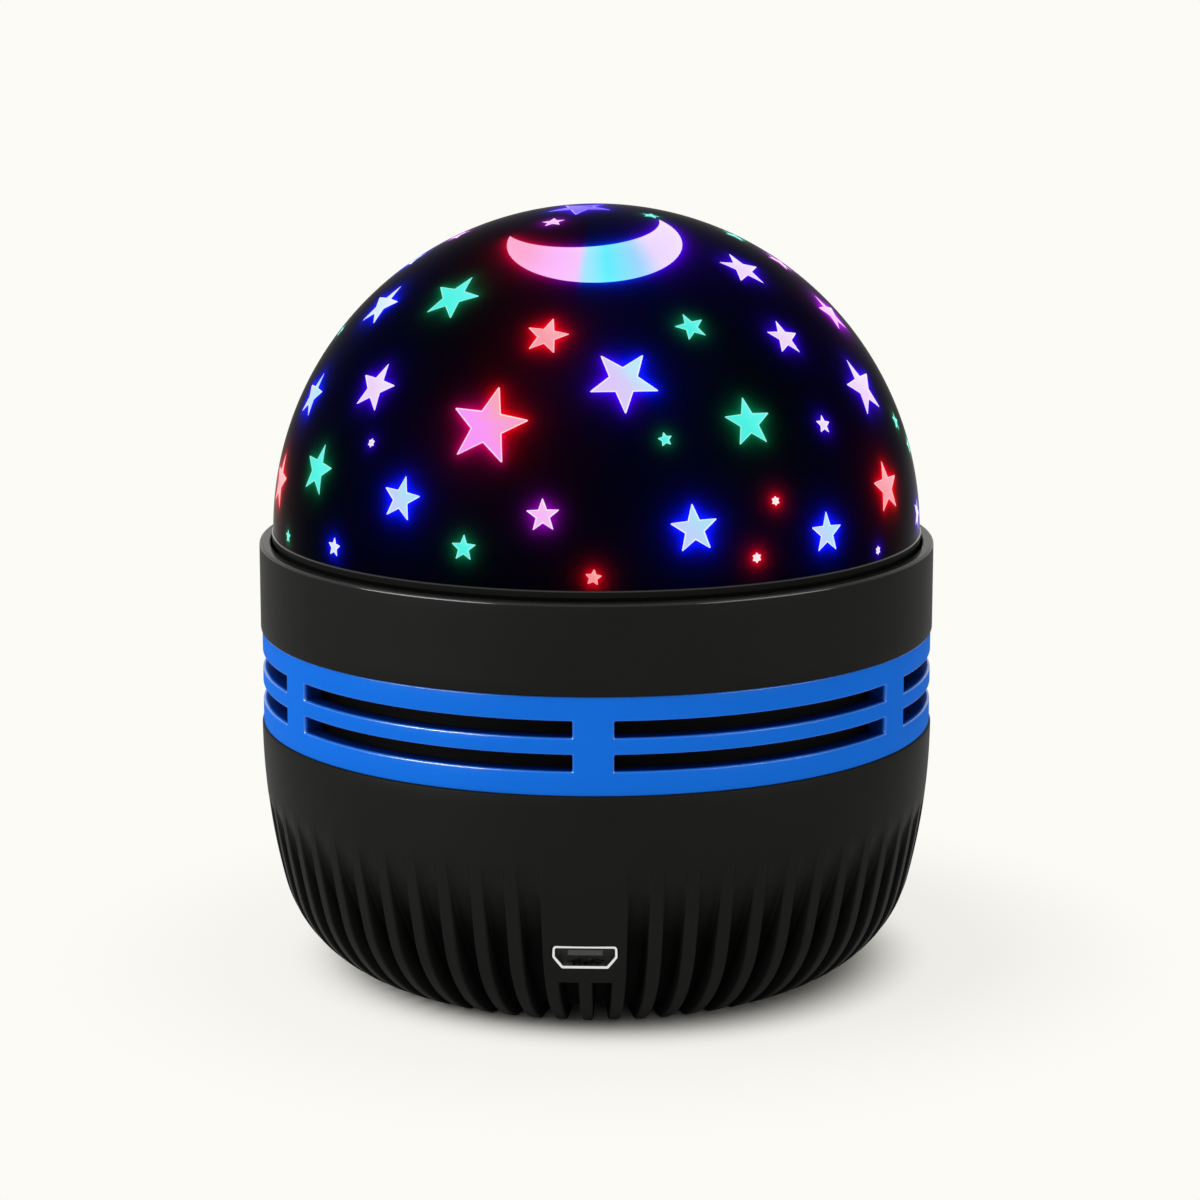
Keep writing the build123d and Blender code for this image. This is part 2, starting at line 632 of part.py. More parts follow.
def lamp_column():
    shoulder_r = COLUMN_R + SHOULDER_W
    flange_top = DECK_TOP + COLUMN_FLANGE_T
    clip_r = COLUMN_R - CLIP_DEPTH
    column = turned(*path(
        (COLUMN_BORE_R, DECK_TOP), (COLUMN_FLANGE_R, DECK_TOP),
        (COLUMN_FLANGE_R, flange_top), (shoulder_r, flange_top), (shoulder_r, SHOULDER_Z),
        (COLUMN_R, SHOULDER_Z), (COLUMN_R, CLIP_Z), (clip_r, CLIP_Z),
        (clip_r, CLIP_Z + CLIP_T), (COLUMN_R, CLIP_Z + CLIP_T), (COLUMN_R, LAMP_Z),
        (COLUMN_BORE_R, LAMP_Z), (COLUMN_BORE_R, DECK_TOP)))
    hole = disc(SMALL_SCREW_R + HOLE_CLEAR, DECK_TOP, flange_top)
    column -= at_circle(hole, COLUMN_SCREW_R, spaced(COLUMN_SCREWS, 90))
    tiny = disc(TINY_SCREW_R, LAMP_Z - LAMP_SCREW_BITE, LAMP_Z)
    return column - at_circle(tiny, (COLUMN_R + COLUMN_BORE_R) / 2, (45, 225))


def thrust_washer():
    return ring(COLUMN_R + SHOULDER_W, COLUMN_R + SHAFT_CLEAR, SHOULDER_Z,
                SHOULDER_Z + WASHER_T)


def retaining_clip():
    """Split ring in the column's groove, above the turntable."""
    inner = COLUMN_R - CLIP_DEPTH
    clip = ring(CLIP_R, inner, CLIP_Z, CLIP_Z + CLIP_T)
    return clip - block(0, 2 * CLIP_R, -inner / 2, inner / 2, CLIP_Z, CLIP_Z + CLIP_T)


# ---- Lamp ----

def lamp_board():
    board = disc(LAMP_BOARD_R, LAMP_Z, LAMP_TOP)
    hole = disc(TINY_SCREW_R + HOLE_CLEAR, LAMP_Z, LAMP_TOP)
    return board - at_circle(hole, (COLUMN_R + COLUMN_BORE_R) / 2, (45, 225))


def led(angle):
    """Square package with a small round lens on it."""
    half = LED_SIZE / 2
    package = block(-half, half, -half, half, LAMP_TOP, LAMP_TOP + LED_H)
    package += Pos(0, 0, LAMP_TOP + LED_H) * Sphere(LED_DOME_R, arc_size1=0)
    return Rot(0, 0, angle) * Pos(LED_CIRCLE_R, 0, 0) * package


def lens_cap():
    """Clear cap over the LEDs, a short wall with a low crown."""
    side_top, inner = LAMP_TOP + LENS_SIDE_H, LENS_R - LENS_WALL
    crown_r = (LENS_R**2 + LENS_CROWN**2) / (2 * LENS_CROWN)
    centre = (0, side_top + LENS_CROWN - crown_r)
    under_r = crown_r - LENS_WALL
    outside = asin((side_top - centre[1]) / crown_r)
    inside = acos(inner / under_r)
    return turned(
        *path((inner, LAMP_TOP), (LENS_R, LAMP_TOP), (LENS_R, side_top)),
        arc_about(centre, crown_r, outside, pi / 2),
        *path((0, centre[1] + crown_r), (0, centre[1] + under_r)),
        arc_about(centre, under_r, pi / 2, inside),
        *path((inner, centre[1] + under_r * sin(inside)), (inner, LAMP_TOP)))


def led_wires():
    wire = disc(WIRE_R, BOARD_TOP, LAMP_Z)
    return at_circle(wire, LED_WIRE_CIRCLE_R, spaced(LED_WIRES))


# ---- Gear motor ----

def motor_section(radius):
    """The motor's round section with two flats."""
    return Circle(radius) & Rectangle(2 * radius, MOTOR_D).rotate(Axis.Z, 90)


def at_motor(shape):
    return Pos(GEAR_CENTRE, 0, 0) * shape


def motor_can():
    return at_motor(Pos(0, 0, CAN_Z) * extrude(motor_section(MOTOR_W / 2), CAN_L))


def motor_cap():
    section = motor_section(MOTOR_W / 2)
    return at_motor(Pos(0, 0, DECK_TOP) * extrude(section, MOTOR_CAP_L))


def gearbox():
    half_d, half_w = MOTOR_D / 2, MOTOR_W / 2
    box = block(-half_d, half_d, -half_w, half_w, CAN_TOP, GEARBOX_TOP)
    bore = disc(SHAFT_R + SHAFT_CLEAR, GEARBOX_TOP - SHAFT_ROOT - AXIAL_PLAY, GEARBOX_TOP)
    return at_motor(box - bore)


def motor_bracket():
    """Channel round the motor, open towards the housing, with two feet."""
    in_d, in_w = MOTOR_D / 2 + BRACKET_FIT, MOTOR_W / 2 + BRACKET_FIT
    out_d, out_w = in_d + BRACKET_WALL, in_w + BRACKET_WALL
    top, foot_top = GEARBOX_TOP - BRACKET_DROP, DECK_TOP + BRACKET_FOOT_T
    bracket = block(-out_d, in_d, -out_w, out_w, DECK_TOP, top)
    foot_end = out_w + BRACKET_FOOT_L
    half_foot = BRACKET_FOOT_W / 2
    bracket += block(-half_foot, half_foot, -foot_end, foot_end, DECK_TOP, foot_top)
    bracket -= block(-in_d, 2 * in_d, -in_w, in_w, DECK_TOP, top)
    hole = disc(SMALL_SCREW_R + HOLE_CLEAR, DECK_TOP, foot_top)
    return at_motor(bracket - at_circle(hole, bracket_screw_y(), (90, 270)))


def bracket_screw_y():
    return MOTOR_W / 2 + BRACKET_FIT + BRACKET_WALL + BRACKET_FOOT_L / 2


def motor_terminals():
    thick, wide, long = TERMINAL
    tab = block(-thick / 2, thick / 2, -wide / 2, wide / 2, DECK_TOP - long, DECK_TOP)
    return [at_motor(Pos(0, side * TERMINAL_SPACING / 2, 0) * tab) for side in (-1, 1)]


def motor_wires():
    wire = disc(WIRE_R, BOARD_TOP, DECK_TOP - TERMINAL[2])
    return [at_motor(Pos(0, side * TERMINAL_SPACING / 2, 0) * wire) for side in (-1, 1)]


# ---- Deck and main board ----

def deck():
    plate = disc(DECK_R, DECK_Z, DECK_TOP)
    slot_d, slot_w = 2 * TERMINAL[1], TERMINAL_SPACING + 2 * TERMINAL[1]
    cuts = [disc(COLUMN_BORE_R, DECK_Z, DECK_TOP),
            at_motor(block(-slot_d / 2, slot_d / 2, -slot_w / 2, slot_w / 2,
                           DECK_Z, DECK_TOP))]
    clear = disc(SCREW_R + HOLE_CLEAR, DECK_Z, DECK_TOP)
    tapped = disc(SMALL_SCREW_R, DECK_Z, DECK_TOP)
    cuts.append(Pos(*CAPACITOR_AT, 0) * disc(CAPACITOR_R + CAPACITOR_CLEAR, DECK_Z, DECK_TOP))
    cuts += at_circle(clear, DECK_POST_CIRCLE_R, DECK_POST_ANGLES)
    cuts += at_circle(tapped, COLUMN_SCREW_R, spaced(COLUMN_SCREWS, 90))
    cuts += [at_motor(s) for s in at_circle(tapped, bracket_screw_y(), (90, 270))]
    return plate - cuts


def main_board():
    outline = Circle(BOARD_R) + Rectangle(TAB_W, 2 * TAB_REACH)
    board = Pos(0, 0, BOARD_Z) * extrude(outline, BOARD_T)
    hole = disc(SMALL_SCREW_R + HOLE_CLEAR, BOARD_Z, BOARD_TOP)
    return board - at_circle(hole, BOARD_POST_CIRCLE_R, BOARD_POST_ANGLES)


def control_chip():
    length, width, height = CHIP
    leg_w, leg_l, leg_h = CHIP_LEG
    chip = block(-length / 2, length / 2, -width / 2, width / 2, 0, height)
    for i in range(CHIP_LEGS):
        x = (i - (CHIP_LEGS - 1) / 2) * CHIP_PITCH
        chip += block(x - leg_w / 2, x + leg_w / 2, -width / 2 - leg_l,
                      width / 2 + leg_l, 0, leg_h)
    return Pos(*CHIP_AT, BOARD_TOP) * chip


def filter_capacitor():
    return Pos(*CAPACITOR_AT, 0) * disc(CAPACITOR_R, BOARD_TOP, BOARD_TOP + CAPACITOR_H)


def resistors():
    length, width, height = RESISTOR
    body = block(-width / 2, width / 2, -length / 2, length / 2, 0, height)
    return [Pos(RESISTOR_AT[0] + i * RESISTOR_PITCH, RESISTOR_AT[1], BOARD_TOP) * body
            for i in range(RESISTORS)]


# ---- Socket ----

def socket_outline(grow):
    """Mouth of the socket, wide side up, in a plane that faces the front."""
    top, half = SOCKET_H / 2, SOCKET_W / 2
    side, foot = top - SOCKET_SIDE_H, SOCKET_FOOT_W / 2
    outline = Polyline((-half, top), (half, top), (half, side), (foot, -top),
                       (-foot, -top), (-half, side), close=True)
    face = make_face(outline)
    if grow:
        face = offset(face, grow, kind=Kind.INTERSECTION)
    return Plane.XZ * face


def socket_shell():
    whole = extrude(socket_outline(0), SOCKET_L)
    return Pos(0, SOCKET_L - SOCKET_FACE, SOCKET_Z) * (
        whole - extrude(socket_outline(-SOCKET_T), SOCKET_L))


def socket_insulator():
    """Block that closes the shell's back, with the tongue that carries the contacts."""
    wide, long, thick = TONGUE
    back = SOCKET_L - SOCKET_FACE
    plug = Pos(0, back, SOCKET_Z) * extrude(socket_outline(-SOCKET_T), INSULATOR_L)
    top = SOCKET_Z + SOCKET_H / 2 - SOCKET_T - TONGUE_DROP
    front = back - INSULATOR_L
    return plug + block(-wide / 2, wide / 2, front - long, front, top - thick, top)


def socket_contacts():
    wide, long, thick = CONTACT
    top = SOCKET_Z + SOCKET_H / 2 - SOCKET_T - TONGUE_DROP - TONGUE[2]
    front = SOCKET_L - SOCKET_FACE - INSULATOR_L
    strip = block(-wide / 2, wide / 2, front - long, front, top - thick, top)
    return [Pos((i - (CONTACTS - 1) / 2) * CONTACT_PITCH, 0, 0) * strip
            for i in range(CONTACTS)]


# ---- Button and switch ----

def button_outline(grow):
    return Plane.XZ * SlotOverall(BUTTON_W + 2 * grow, BUTTON_H + 2 * grow)


def mode_button():
    """Oblong cap with a lip behind the wall that keeps it in."""
    lip_front = POCKET_REACH - BUTTON_GAP
    face = SOCKET_FACE + BUTTON_PROUD
    cap = Pos(0, lip_front, SOCKET_Z) * extrude(button_outline(0), -(face - lip_front))
    cap = fillet(cap.faces().sort_by(Axis.Y)[-1].edges(), BUTTON_ROUND)
    lip = button_outline(BUTTON_LIP)
    return cap + Pos(0, lip_front, SOCKET_Z) * extrude(lip, BUTTON_LIP)


def switch_face():
    return POCKET_REACH - BUTTON_GAP - BUTTON_LIP - SWITCH_GAP


def plunger_bore(clear, low, high):
    """Round bar along Y at the switch's height."""
    return Pos(0, high, SOCKET_Z) * extrude(Plane.XZ * Circle(PLUNGER_R + clear), high - low)


def mode_switch():
    wide, deep, high = SWITCH
    face = switch_face()
    body = block(-wide / 2, wide / 2, face - deep, face, BOARD_TOP, BOARD_TOP + high)
    depth = PLUNGER_ROOT + BUTTON_TRAVEL + AXIAL_PLAY
    return body - plunger_bore(SHAFT_CLEAR, face - depth, face)


def switch_plunger():
    face = switch_face()
    return plunger_bore(0, face - PLUNGER_ROOT, face + SWITCH_GAP)


# ---- Cover, feet and screws ----

def bottom_cover():
    cover = disc(COVER_R, BELLY_Z, COVER_TOP)
    hole = disc(SCREW_R + HOLE_CLEAR, BELLY_Z, COVER_TOP)
    hole += disc(SCREW_HEAD_R + HEAD_CLEAR, BELLY_Z, BELLY_Z + SCREW_HEAD_H)
    cover -= at_circle(hole, COVER_SCREW_R, spaced(COVER_SCREWS))
    seat = disc(FOOT_R, BELLY_Z, BELLY_Z + FOOT_SINK)
    return cover - at_circle(seat, FOOT_CIRCLE_R, spaced(FEET, 45))


def rubber_feet():
    return at_circle(disc(FOOT_R, 0, BELLY_Z + FOOT_SINK), FOOT_CIRCLE_R, spaced(FEET, 45))


def cover_screws():
    length = BOARD_Z - COVER_BOSS_GAP - BELLY_Z - SCREW_HEAD_H - HEAD_CLEAR
    up = Rot(180, 0, 0) * screw(SCREW_R, SCREW_HEAD_R, SCREW_HEAD_H, length)
    return at_circle(Pos(0, 0, BELLY_Z + SCREW_HEAD_H) * up, COVER_SCREW_R,
                     spaced(COVER_SCREWS))


def board_screws():
    one = screw(SMALL_SCREW_R, SMALL_HEAD_R, SMALL_HEAD_H, BOARD_T + SCREW_BITE - AXIAL_PLAY)
    return at_circle(Pos(0, 0, BOARD_TOP) * one, BOARD_POST_CIRCLE_R, BOARD_POST_ANGLES)


def deck_screws():
    one = screw(SCREW_R, SCREW_HEAD_R, SCREW_HEAD_H, DECK_T + DECK_SCREW_BITE)
    return at_circle(Pos(0, 0, DECK_TOP) * one, DECK_POST_CIRCLE_R, DECK_POST_ANGLES)


def column_screws():
    one = screw(SMALL_SCREW_R, SMALL_HEAD_R, SMALL_HEAD_H, COLUMN_FLANGE_T + DECK_T)
    return at_circle(Pos(0, 0, DECK_TOP + COLUMN_FLANGE_T) * one, COLUMN_SCREW_R,
                     spaced(COLUMN_SCREWS, 90))


def bracket_screws():
    one = screw(SMALL_SCREW_R, SMALL_HEAD_R, SMALL_HEAD_H, BRACKET_FOOT_T + DECK_T)
    placed = Pos(0, 0, DECK_TOP + BRACKET_FOOT_T) * one
    return [at_motor(s) for s in at_circle(placed, bracket_screw_y(), (90, 270))]


def lamp_screws():
    one = screw(TINY_SCREW_R, TINY_HEAD_R, TINY_HEAD_H, LAMP_BOARD_T + LAMP_SCREW_BITE)
    return at_circle(Pos(0, 0, LAMP_TOP) * one, (COLUMN_R + COLUMN_BORE_R) / 2, (45, 225))


os.makedirs("parts", exist_ok=True)
skin = dome_skin()
write("dome_skin", skin)
write("star_windows", star_windows(skin))
write("turntable", turntable())
write("hub_bush", hub_bush())
write("pinion", pinion())
write("output_shaft", output_shaft())
write("lamp_column", lamp_column())
write("thrust_washer", thrust_washer())
write("retaining_clip", retaining_clip())
write("lamp_board", lamp_board())
write("red_led", led(0))
write("green_led", led(90))
write("blue_led", led(180))
write("white_led", led(270))
write("lens_cap", lens_cap())
write("led_wires", *led_wires())
write("motor_can", motor_can())
write("motor_cap", motor_cap())
write("gearbox", gearbox())
write("motor_bracket", motor_bracket())
write("motor_terminals", *motor_terminals())
write("motor_wires", *motor_wires())
write("deck", deck())
write("main_board", main_board())
write("control_chip", control_chip())
write("filter_capacitor", filter_capacitor())
write("resistors", *resistors())
write("socket_shell", socket_shell())
write("socket_insulator", socket_insulator())
write("socket_contacts", *socket_contacts())
write("mode_button", mode_button())
write("mode_switch", mode_switch())
write("switch_plunger", switch_plunger())
write("base_shell", base_shell())
write("vent_band", vent_band())
write("collar", collar())
write("bottom_cover", bottom_cover())
write("rubber_feet", *rubber_feet())
write("cover_screws", *cover_screws())
write("board_screws", *board_screws())
write("deck_screws", *deck_screws())
write("column_screws", *column_screws())
write("bracket_screws", *bracket_screws())
write("lamp_screws", *lamp_screws())
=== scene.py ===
import bmesh
import bpy
from math import acos, asin, atan2, cos, hypot, pi, radians, sin, sqrt, tau

import numpy as np
from mathutils import Matrix, Vector


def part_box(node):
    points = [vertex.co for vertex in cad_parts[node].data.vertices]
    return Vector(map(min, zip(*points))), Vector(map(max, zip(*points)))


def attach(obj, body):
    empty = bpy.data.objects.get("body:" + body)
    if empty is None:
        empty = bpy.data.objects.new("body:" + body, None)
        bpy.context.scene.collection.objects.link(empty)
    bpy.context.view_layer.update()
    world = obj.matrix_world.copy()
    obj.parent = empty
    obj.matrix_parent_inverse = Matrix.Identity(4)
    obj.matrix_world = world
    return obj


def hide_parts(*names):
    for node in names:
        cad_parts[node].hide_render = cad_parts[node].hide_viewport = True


# Star night light projector. Metres, +Z up, the table at z = 0, the dome's axis at x = y = 0.
# The socket faces -Y and the mode button +Y.
bpy.ops.wm.read_factory_settings(use_empty=True)
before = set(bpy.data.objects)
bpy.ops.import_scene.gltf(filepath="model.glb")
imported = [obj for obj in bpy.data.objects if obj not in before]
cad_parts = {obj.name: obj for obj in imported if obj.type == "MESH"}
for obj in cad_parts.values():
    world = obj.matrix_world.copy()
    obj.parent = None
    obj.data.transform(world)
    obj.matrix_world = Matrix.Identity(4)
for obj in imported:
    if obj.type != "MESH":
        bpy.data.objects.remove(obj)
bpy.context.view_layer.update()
MM = 0.001


# ---- Base shell ----
# The lower housing, moulded in satin charcoal plastic. Sixty ribs fade in below a plain shoulder
# and curl under to a ring of tips. A thin sleeve rises behind the vent band, into the collar.

body_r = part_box("collar")[1].x
band_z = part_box("vent_band")[0].z
collar_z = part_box("vent_band")[1].z
rib_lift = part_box("base_shell")[0].z
sleeve_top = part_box("base_shell")[1].z
belly_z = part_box("bottom_cover")[0].z
cover_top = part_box("bottom_cover")[1].z
SIDE_DROP = 19.0 * MM
SIDE_ARC_R = 78.0 * MM
GROOVE_TOP = 8.7 * MM
GROOVE_BULGE = 1.28 * MM
BELLY_R = 29.3 * MM
RIB_FOOT_INSET = 11.8 * MM  # where the rib faces end, inside the body's face
HEEL_INSET = 15.75 * MM  # inner ends of the ribs
GROOVE_W_OUTER = 2.55 * MM
GROOVE_W_INNER = 1.42 * MM
PAD_FOOT_Z = 7.15 * MM
PAD_STEP = 0.04 * MM  # half the height of the pads' edge
SHELL_WALL = 1.8 * MM
LEDGE_W = 6.45 * MM
SLEEVE_OUT = 2.78 * MM  # sleeve's face inside the body's
SLEEVE_WALL = 1.5 * MM
RIBS = 60
RIB_COLUMNS, RIB_ROWS = 12, 26  # of the mesh, to each rib
RIB_EDGE = 0.16 * MM  # rounding of a rib's edges
FOOT_EDGE = 0.15 * MM
RIM_EDGE = 0.2 * MM
SEAM = 0.02 * MM  # inside clear of the grooves' ends

lean = asin(SIDE_DROP / SIDE_ARC_R)
side_foot = (body_r - SIDE_ARC_R * (1 - cos(lean)), band_z - SIDE_DROP)
rib_foot_r, heel_r = body_r - RIB_FOOT_INSET, body_r - HEEL_INSET
heel_run, heel_fall = side_foot[0] - rib_foot_r, side_foot[1] - rib_lift
heel_arc_r = (heel_run**2 + heel_fall**2) / 2 / (heel_run * cos(lean) - heel_fall * sin(lean))
heel_centre = (side_foot[0] - heel_arc_r * cos(lean), side_foot[1] + heel_arc_r * sin(lean))
heel_end = acos((rib_foot_r - heel_centre[0]) / heel_arc_r)
side_length = SIDE_ARC_R * lean
heel_length = heel_arc_r * (heel_end - lean)
rib_length = side_length + heel_length + rib_foot_r - heel_r
groove_top_z = band_z - GROOVE_TOP
groove_top_r = body_r - SIDE_ARC_R + sqrt(SIDE_ARC_R**2 - GROOVE_TOP**2)
floor_z = cover_top + SHELL_WALL


def arc(centre, radius, start, end, steps):
    """Points (radius, height) of an arc, both ends included."""
    angles = [start + (end - start) * i / steps for i in range(steps + 1)]
    return [(centre[0] + radius * cos(a), centre[1] + radius * sin(a)) for a in angles]


def side_point(travel):
    """Point of the rib faces, by the length travelled down from the vent band: side, heel, foot."""
    if travel <= side_length:
        a = -travel / SIDE_ARC_R
        return body_r - SIDE_ARC_R * (1 - cos(a)), band_z + SIDE_ARC_R * sin(a)
    travel -= side_length
    if travel <= heel_length:
        return arc(heel_centre, heel_arc_r, -lean, -lean - travel / heel_arc_r, 1)[1]
    return rib_foot_r - (travel - heel_length), rib_lift


def groove_curve():
    """Centre, radius and end angles of the groove floor's arc."""
    dr, dz = groove_top_r - BELLY_R, groove_top_z - belly_z
    chord = hypot(dr, dz)
    radius = chord**2 / (8 * GROOVE_BULGE) + GROOVE_BULGE / 2
    back = radius - GROOVE_BULGE
    centre = ((groove_top_r + BELLY_R) / 2 - back * dz / chord,
              (groove_top_z + belly_z) / 2 + back * dr / chord)
    top = atan2(groove_top_z - centre[1], groove_top_r - centre[0])
    foot = atan2(belly_z - centre[1], BELLY_R - centre[0])
    return centre, radius, top, foot


def groove_point(share):
    """Point of the groove floor, from its top at 0 to the ring of rib tips at 1."""
    centre, radius, top, foot = groove_curve()
    arc_length, flat = radius * (top - foot), BELLY_R - heel_r
    travel = share * (arc_length + flat)
    if travel <= arc_length:
        return arc(centre, radius, top, top - travel / radius, 1)[1]
    return BELLY_R - (travel - arc_length), belly_z


def shell_rows():
    """The shell's outline as rows: point of the face, point of the groove, length from the top."""
    top_travel = SIDE_ARC_R * asin(GROOVE_TOP / SIDE_ARC_R)
    foot_travel = side_length + heel_length
    pad_angle = asin((heel_centre[1] - PAD_FOOT_Z) / heel_arc_r)
    pad_travel = side_length + heel_arc_r * (pad_angle - lean)
    shoulder = arc((body_r - RIM_EDGE, band_z - RIM_EDGE), RIM_EDGE, pi / 2, 0, 3)
    shoulder += [side_point(top_travel * i / 6) for i in range(1, 6)]
    rows = [(p, p, 0) for p in shoulder]
    travels = [top_travel + (foot_travel - top_travel) * i / RIB_ROWS for i in range(RIB_ROWS)]
    nearest = min(range(RIB_ROWS), key=lambda i: abs(travels[i] - pad_travel))
    travels[nearest:nearest + 1] = [pad_travel - PAD_STEP, pad_travel + PAD_STEP]
    travels += [foot_travel - FOOT_EDGE, foot_travel + FOOT_EDGE, rib_length - FOOT_EDGE,
                rib_length]
    for travel in travels:
        share = (travel - top_travel) / (rib_length - top_travel)
        rows.append((side_point(travel), groove_point(share), travel))
    centre, radius, top, foot = groove_curve()
    cavity_r = radius - SHELL_WALL
    floor_angle = asin((floor_z - centre[1]) / cavity_r)
    sleeve_r = body_r - SLEEVE_OUT
    inside = [(heel_r, belly_z + SEAM), (heel_r, cover_top),
              (heel_r - LEDGE_W, cover_top), (heel_r - LEDGE_W, floor_z)]
    inside += arc(centre, cavity_r, floor_angle, top, 8)
    inside += [(body_r - 2 * SHELL_WALL, band_z - 2 * SHELL_WALL),
               (sleeve_r - SLEEVE_WALL, band_z - SHELL_WALL),
               (sleeve_r - SLEEVE_WALL, sleeve_top), (sleeve_r, sleeve_top),
               (sleeve_r, band_z)]
    rows += [(p, p, 0) for p in inside]
    return rows, pad_travel


def rib_column(k, radius, depth):
    """Distance round from a rib's middle and depth below its face, for columns 0 to 6."""
    half_pitch = radius * pi / RIBS
    share = (radius - heel_r) / (body_r - heel_r)
    groove_w = GROOVE_W_INNER + (GROOVE_W_OUTER - GROOVE_W_INNER) * share
    side = half_pitch - groove_w / 2
    edge, root = min(RIB_EDGE, depth), min(2 * RIB_EDGE, depth / 2)
    around = (0, side / 2, side - RIB_EDGE, side, side + 0.2 * RIB_EDGE,
              side + 2.2 * RIB_EDGE, half_pitch)
    below = (0, 0, 0, edge, depth - root, depth, depth)
    return around[k], below[k]


def ribbed_shell():
    """A grid wrapped round the axis and closed along its outline, with the grooves sunk into it."""
    rows, pad_travel = shell_rows()
    columns = RIB_COLUMNS * RIBS
    bm = bmesh.new()
    bmesh.ops.create_grid(bm, x_segments=columns, y_segments=len(rows), size=0.5)
    for v in bm.verts:
        column = round((v.co.x + 0.5) * columns)
        face, floor, travel = rows[round((v.co.y + 0.5) * len(rows)) % len(rows)]
        pitch, k = divmod(column % columns, RIB_COLUMNS)
        depth = hypot(face[0] - floor[0], face[1] - floor[1])
        beside_pad = pitch % (RIBS // 2) in (0, RIBS // 2 - 1)
        if beside_pad and travel < pad_travel:
            depth = 0
        mirrored = k > RIB_COLUMNS / 2
        around, below = rib_column(RIB_COLUMNS - k if mirrored else k, face[0], depth)
        share = below / depth if depth else 0
        radius = face[0] + (floor[0] - face[0]) * share
        height = face[1] + (floor[1] - face[1]) * share
        angle = around / face[0]
        angle = tau / RIBS * (pitch + 1) - angle if mirrored else tau / RIBS * pitch + angle
        v.co = (radius * cos(angle - pi / 2), radius * sin(angle - pi / 2), height)
    return closed(bm, 0.002 * MM)


def closed(bm, reach):
    """Merges what lies together and turns the faces outwards."""
    bmesh.ops.remove_doubles(bm, verts=bm.verts, dist=reach)
    bmesh.ops.recalc_face_normals(bm, faces=bm.faces)
    return bm


def as_object(name, bm):
    """Makes the piece's object from a bmesh, smooth but for edges sharper than 35 degrees."""
    mesh = bpy.data.meshes.new(name)
    bm.to_mesh(mesh)
    bm.free()
    mesh.shade_smooth()
    mesh.set_sharp_from_angle(angle=radians(35))
    made = bpy.data.objects.new(name, mesh)
    bpy.context.scene.collection.objects.link(made)
    return made


def cut(piece, cutter_bm):
    """Takes a closed cutter out of a piece and drops the cutter."""
    cutter = as_object("cutter", cutter_bm)
    modifier = piece.modifiers.new("cut", "BOOLEAN")
    modifier.operation = "DIFFERENCE"
    modifier.solver = "EXACT"
    modifier.object = cutter
    bpy.context.view_layer.update()
    evaluated = piece.evaluated_get(bpy.context.evaluated_depsgraph_get())
    mesh = bpy.data.meshes.new_from_object(evaluated)
    piece.modifiers.clear()
    piece.data = mesh
    bpy.data.objects.remove(cutter)


def dress(piece, finish):
    piece.data.materials.clear()
    piece.data.materials.append(finish.material)


def fit(piece, body, finish, node):
    """Gives a piece its finish and its body, and hides the CAD node that it stands for."""
    dress(piece, finish)
    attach(piece, body)
    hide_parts(node)


class Value:
    """A socket in a finish: arithmetic on it adds Math nodes."""

    def __init__(self, finish, socket):
        self.finish, self.socket = finish, socket

    def math(self, operation, first, second):
        return self.finish.node("ShaderNodeMath", {"operation": operation}, {0: first, 1: second})

    def __add__(self, other):
        return self.math("ADD", self, other)

    def __mul__(self, other):
        return self.math("MULTIPLY", self, other)

    def __sub__(self, other):
        return self.math("SUBTRACT", self, other)

    def __rsub__(self, other):
        return self.math("SUBTRACT", other, self)

    __radd__, __rmul__ = __add__, __mul__


class Finish:
    """A material, or the room: one shader and the nodes that feed it."""

    def __init__(self, name, shader=None, kept=bpy.data.materials, kind="Principled BSDF"):
        self.material = kept.new(name)
        self.material.use_nodes = True
        self.tree = self.material.node_tree
        self.shader = self.tree.nodes[kind]
        self.feed(self.shader, shader or {})

    def feed(self, node, inputs):
        for key, value in inputs.items():
            if isinstance(value, Value):
                self.tree.links.new(value.socket, node.inputs[key])
            else:
                node.inputs[key].default_value = value

    def node(self, kind, settings=None, inputs=None, output=0):
        """Adds a node: its settings first, then the values or links of its sockets."""
        made = self.tree.nodes.new(kind)
        for key, value in (settings or {}).items():
            setattr(made, key, value)
        self.feed(made, inputs or {})
        return Value(self, made.outputs[output])

    def place(self):
        """Object coordinates."""
        return self.node("ShaderNodeTexCoord", output="Object")

    def noise(self, size, detail=2.0):
        """Noise over the object, with grains of about that size."""
        return self.node("ShaderNodeTexNoise", None,
                         {"Vector": self.place(), "Scale": 1 / size, "Detail": detail}, "Fac")

    def blend(self, share, first, second, mode="MIX"):
        """Mixes two colours, each a link or three numbers."""
        first, second = (c if isinstance(c, Value) else (*c, 1) for c in (first, second))
        return self.node("ShaderNodeMix", {"data_type": "RGBA", "blend_type": mode},
                         {"Factor": share, 6: first, 7: second}, 2)

    def along(self, axis):
        """Object coordinate along X, Y or Z."""
        return self.node("ShaderNodeSeparateXYZ", None, {"Vector": self.place()}, axis)

    def painted(self, name):
        """Colour that the mesh stores under that name."""
        return self.node("ShaderNodeVertexColor", {"layer_name": name})

    def rise(self, value, start, end):
        """0 up to the start and 1 from the end, smooth between them."""
        return self.node("ShaderNodeMapRange", {"interpolation_type": "SMOOTHSTEP"},
                         {"Value": value, "From Min": start, "From Max": end})

    def over(self, value, level, soft):
        """0 below a level and 1 above it, with a soft step."""
        return self.rise(value, level - soft, level + soft)

    def bump(self, height, depth):
        normal = self.node("ShaderNodeBump", None, {"Height": height, "Distance": depth})
        self.feed(self.shader, {"Normal": normal})


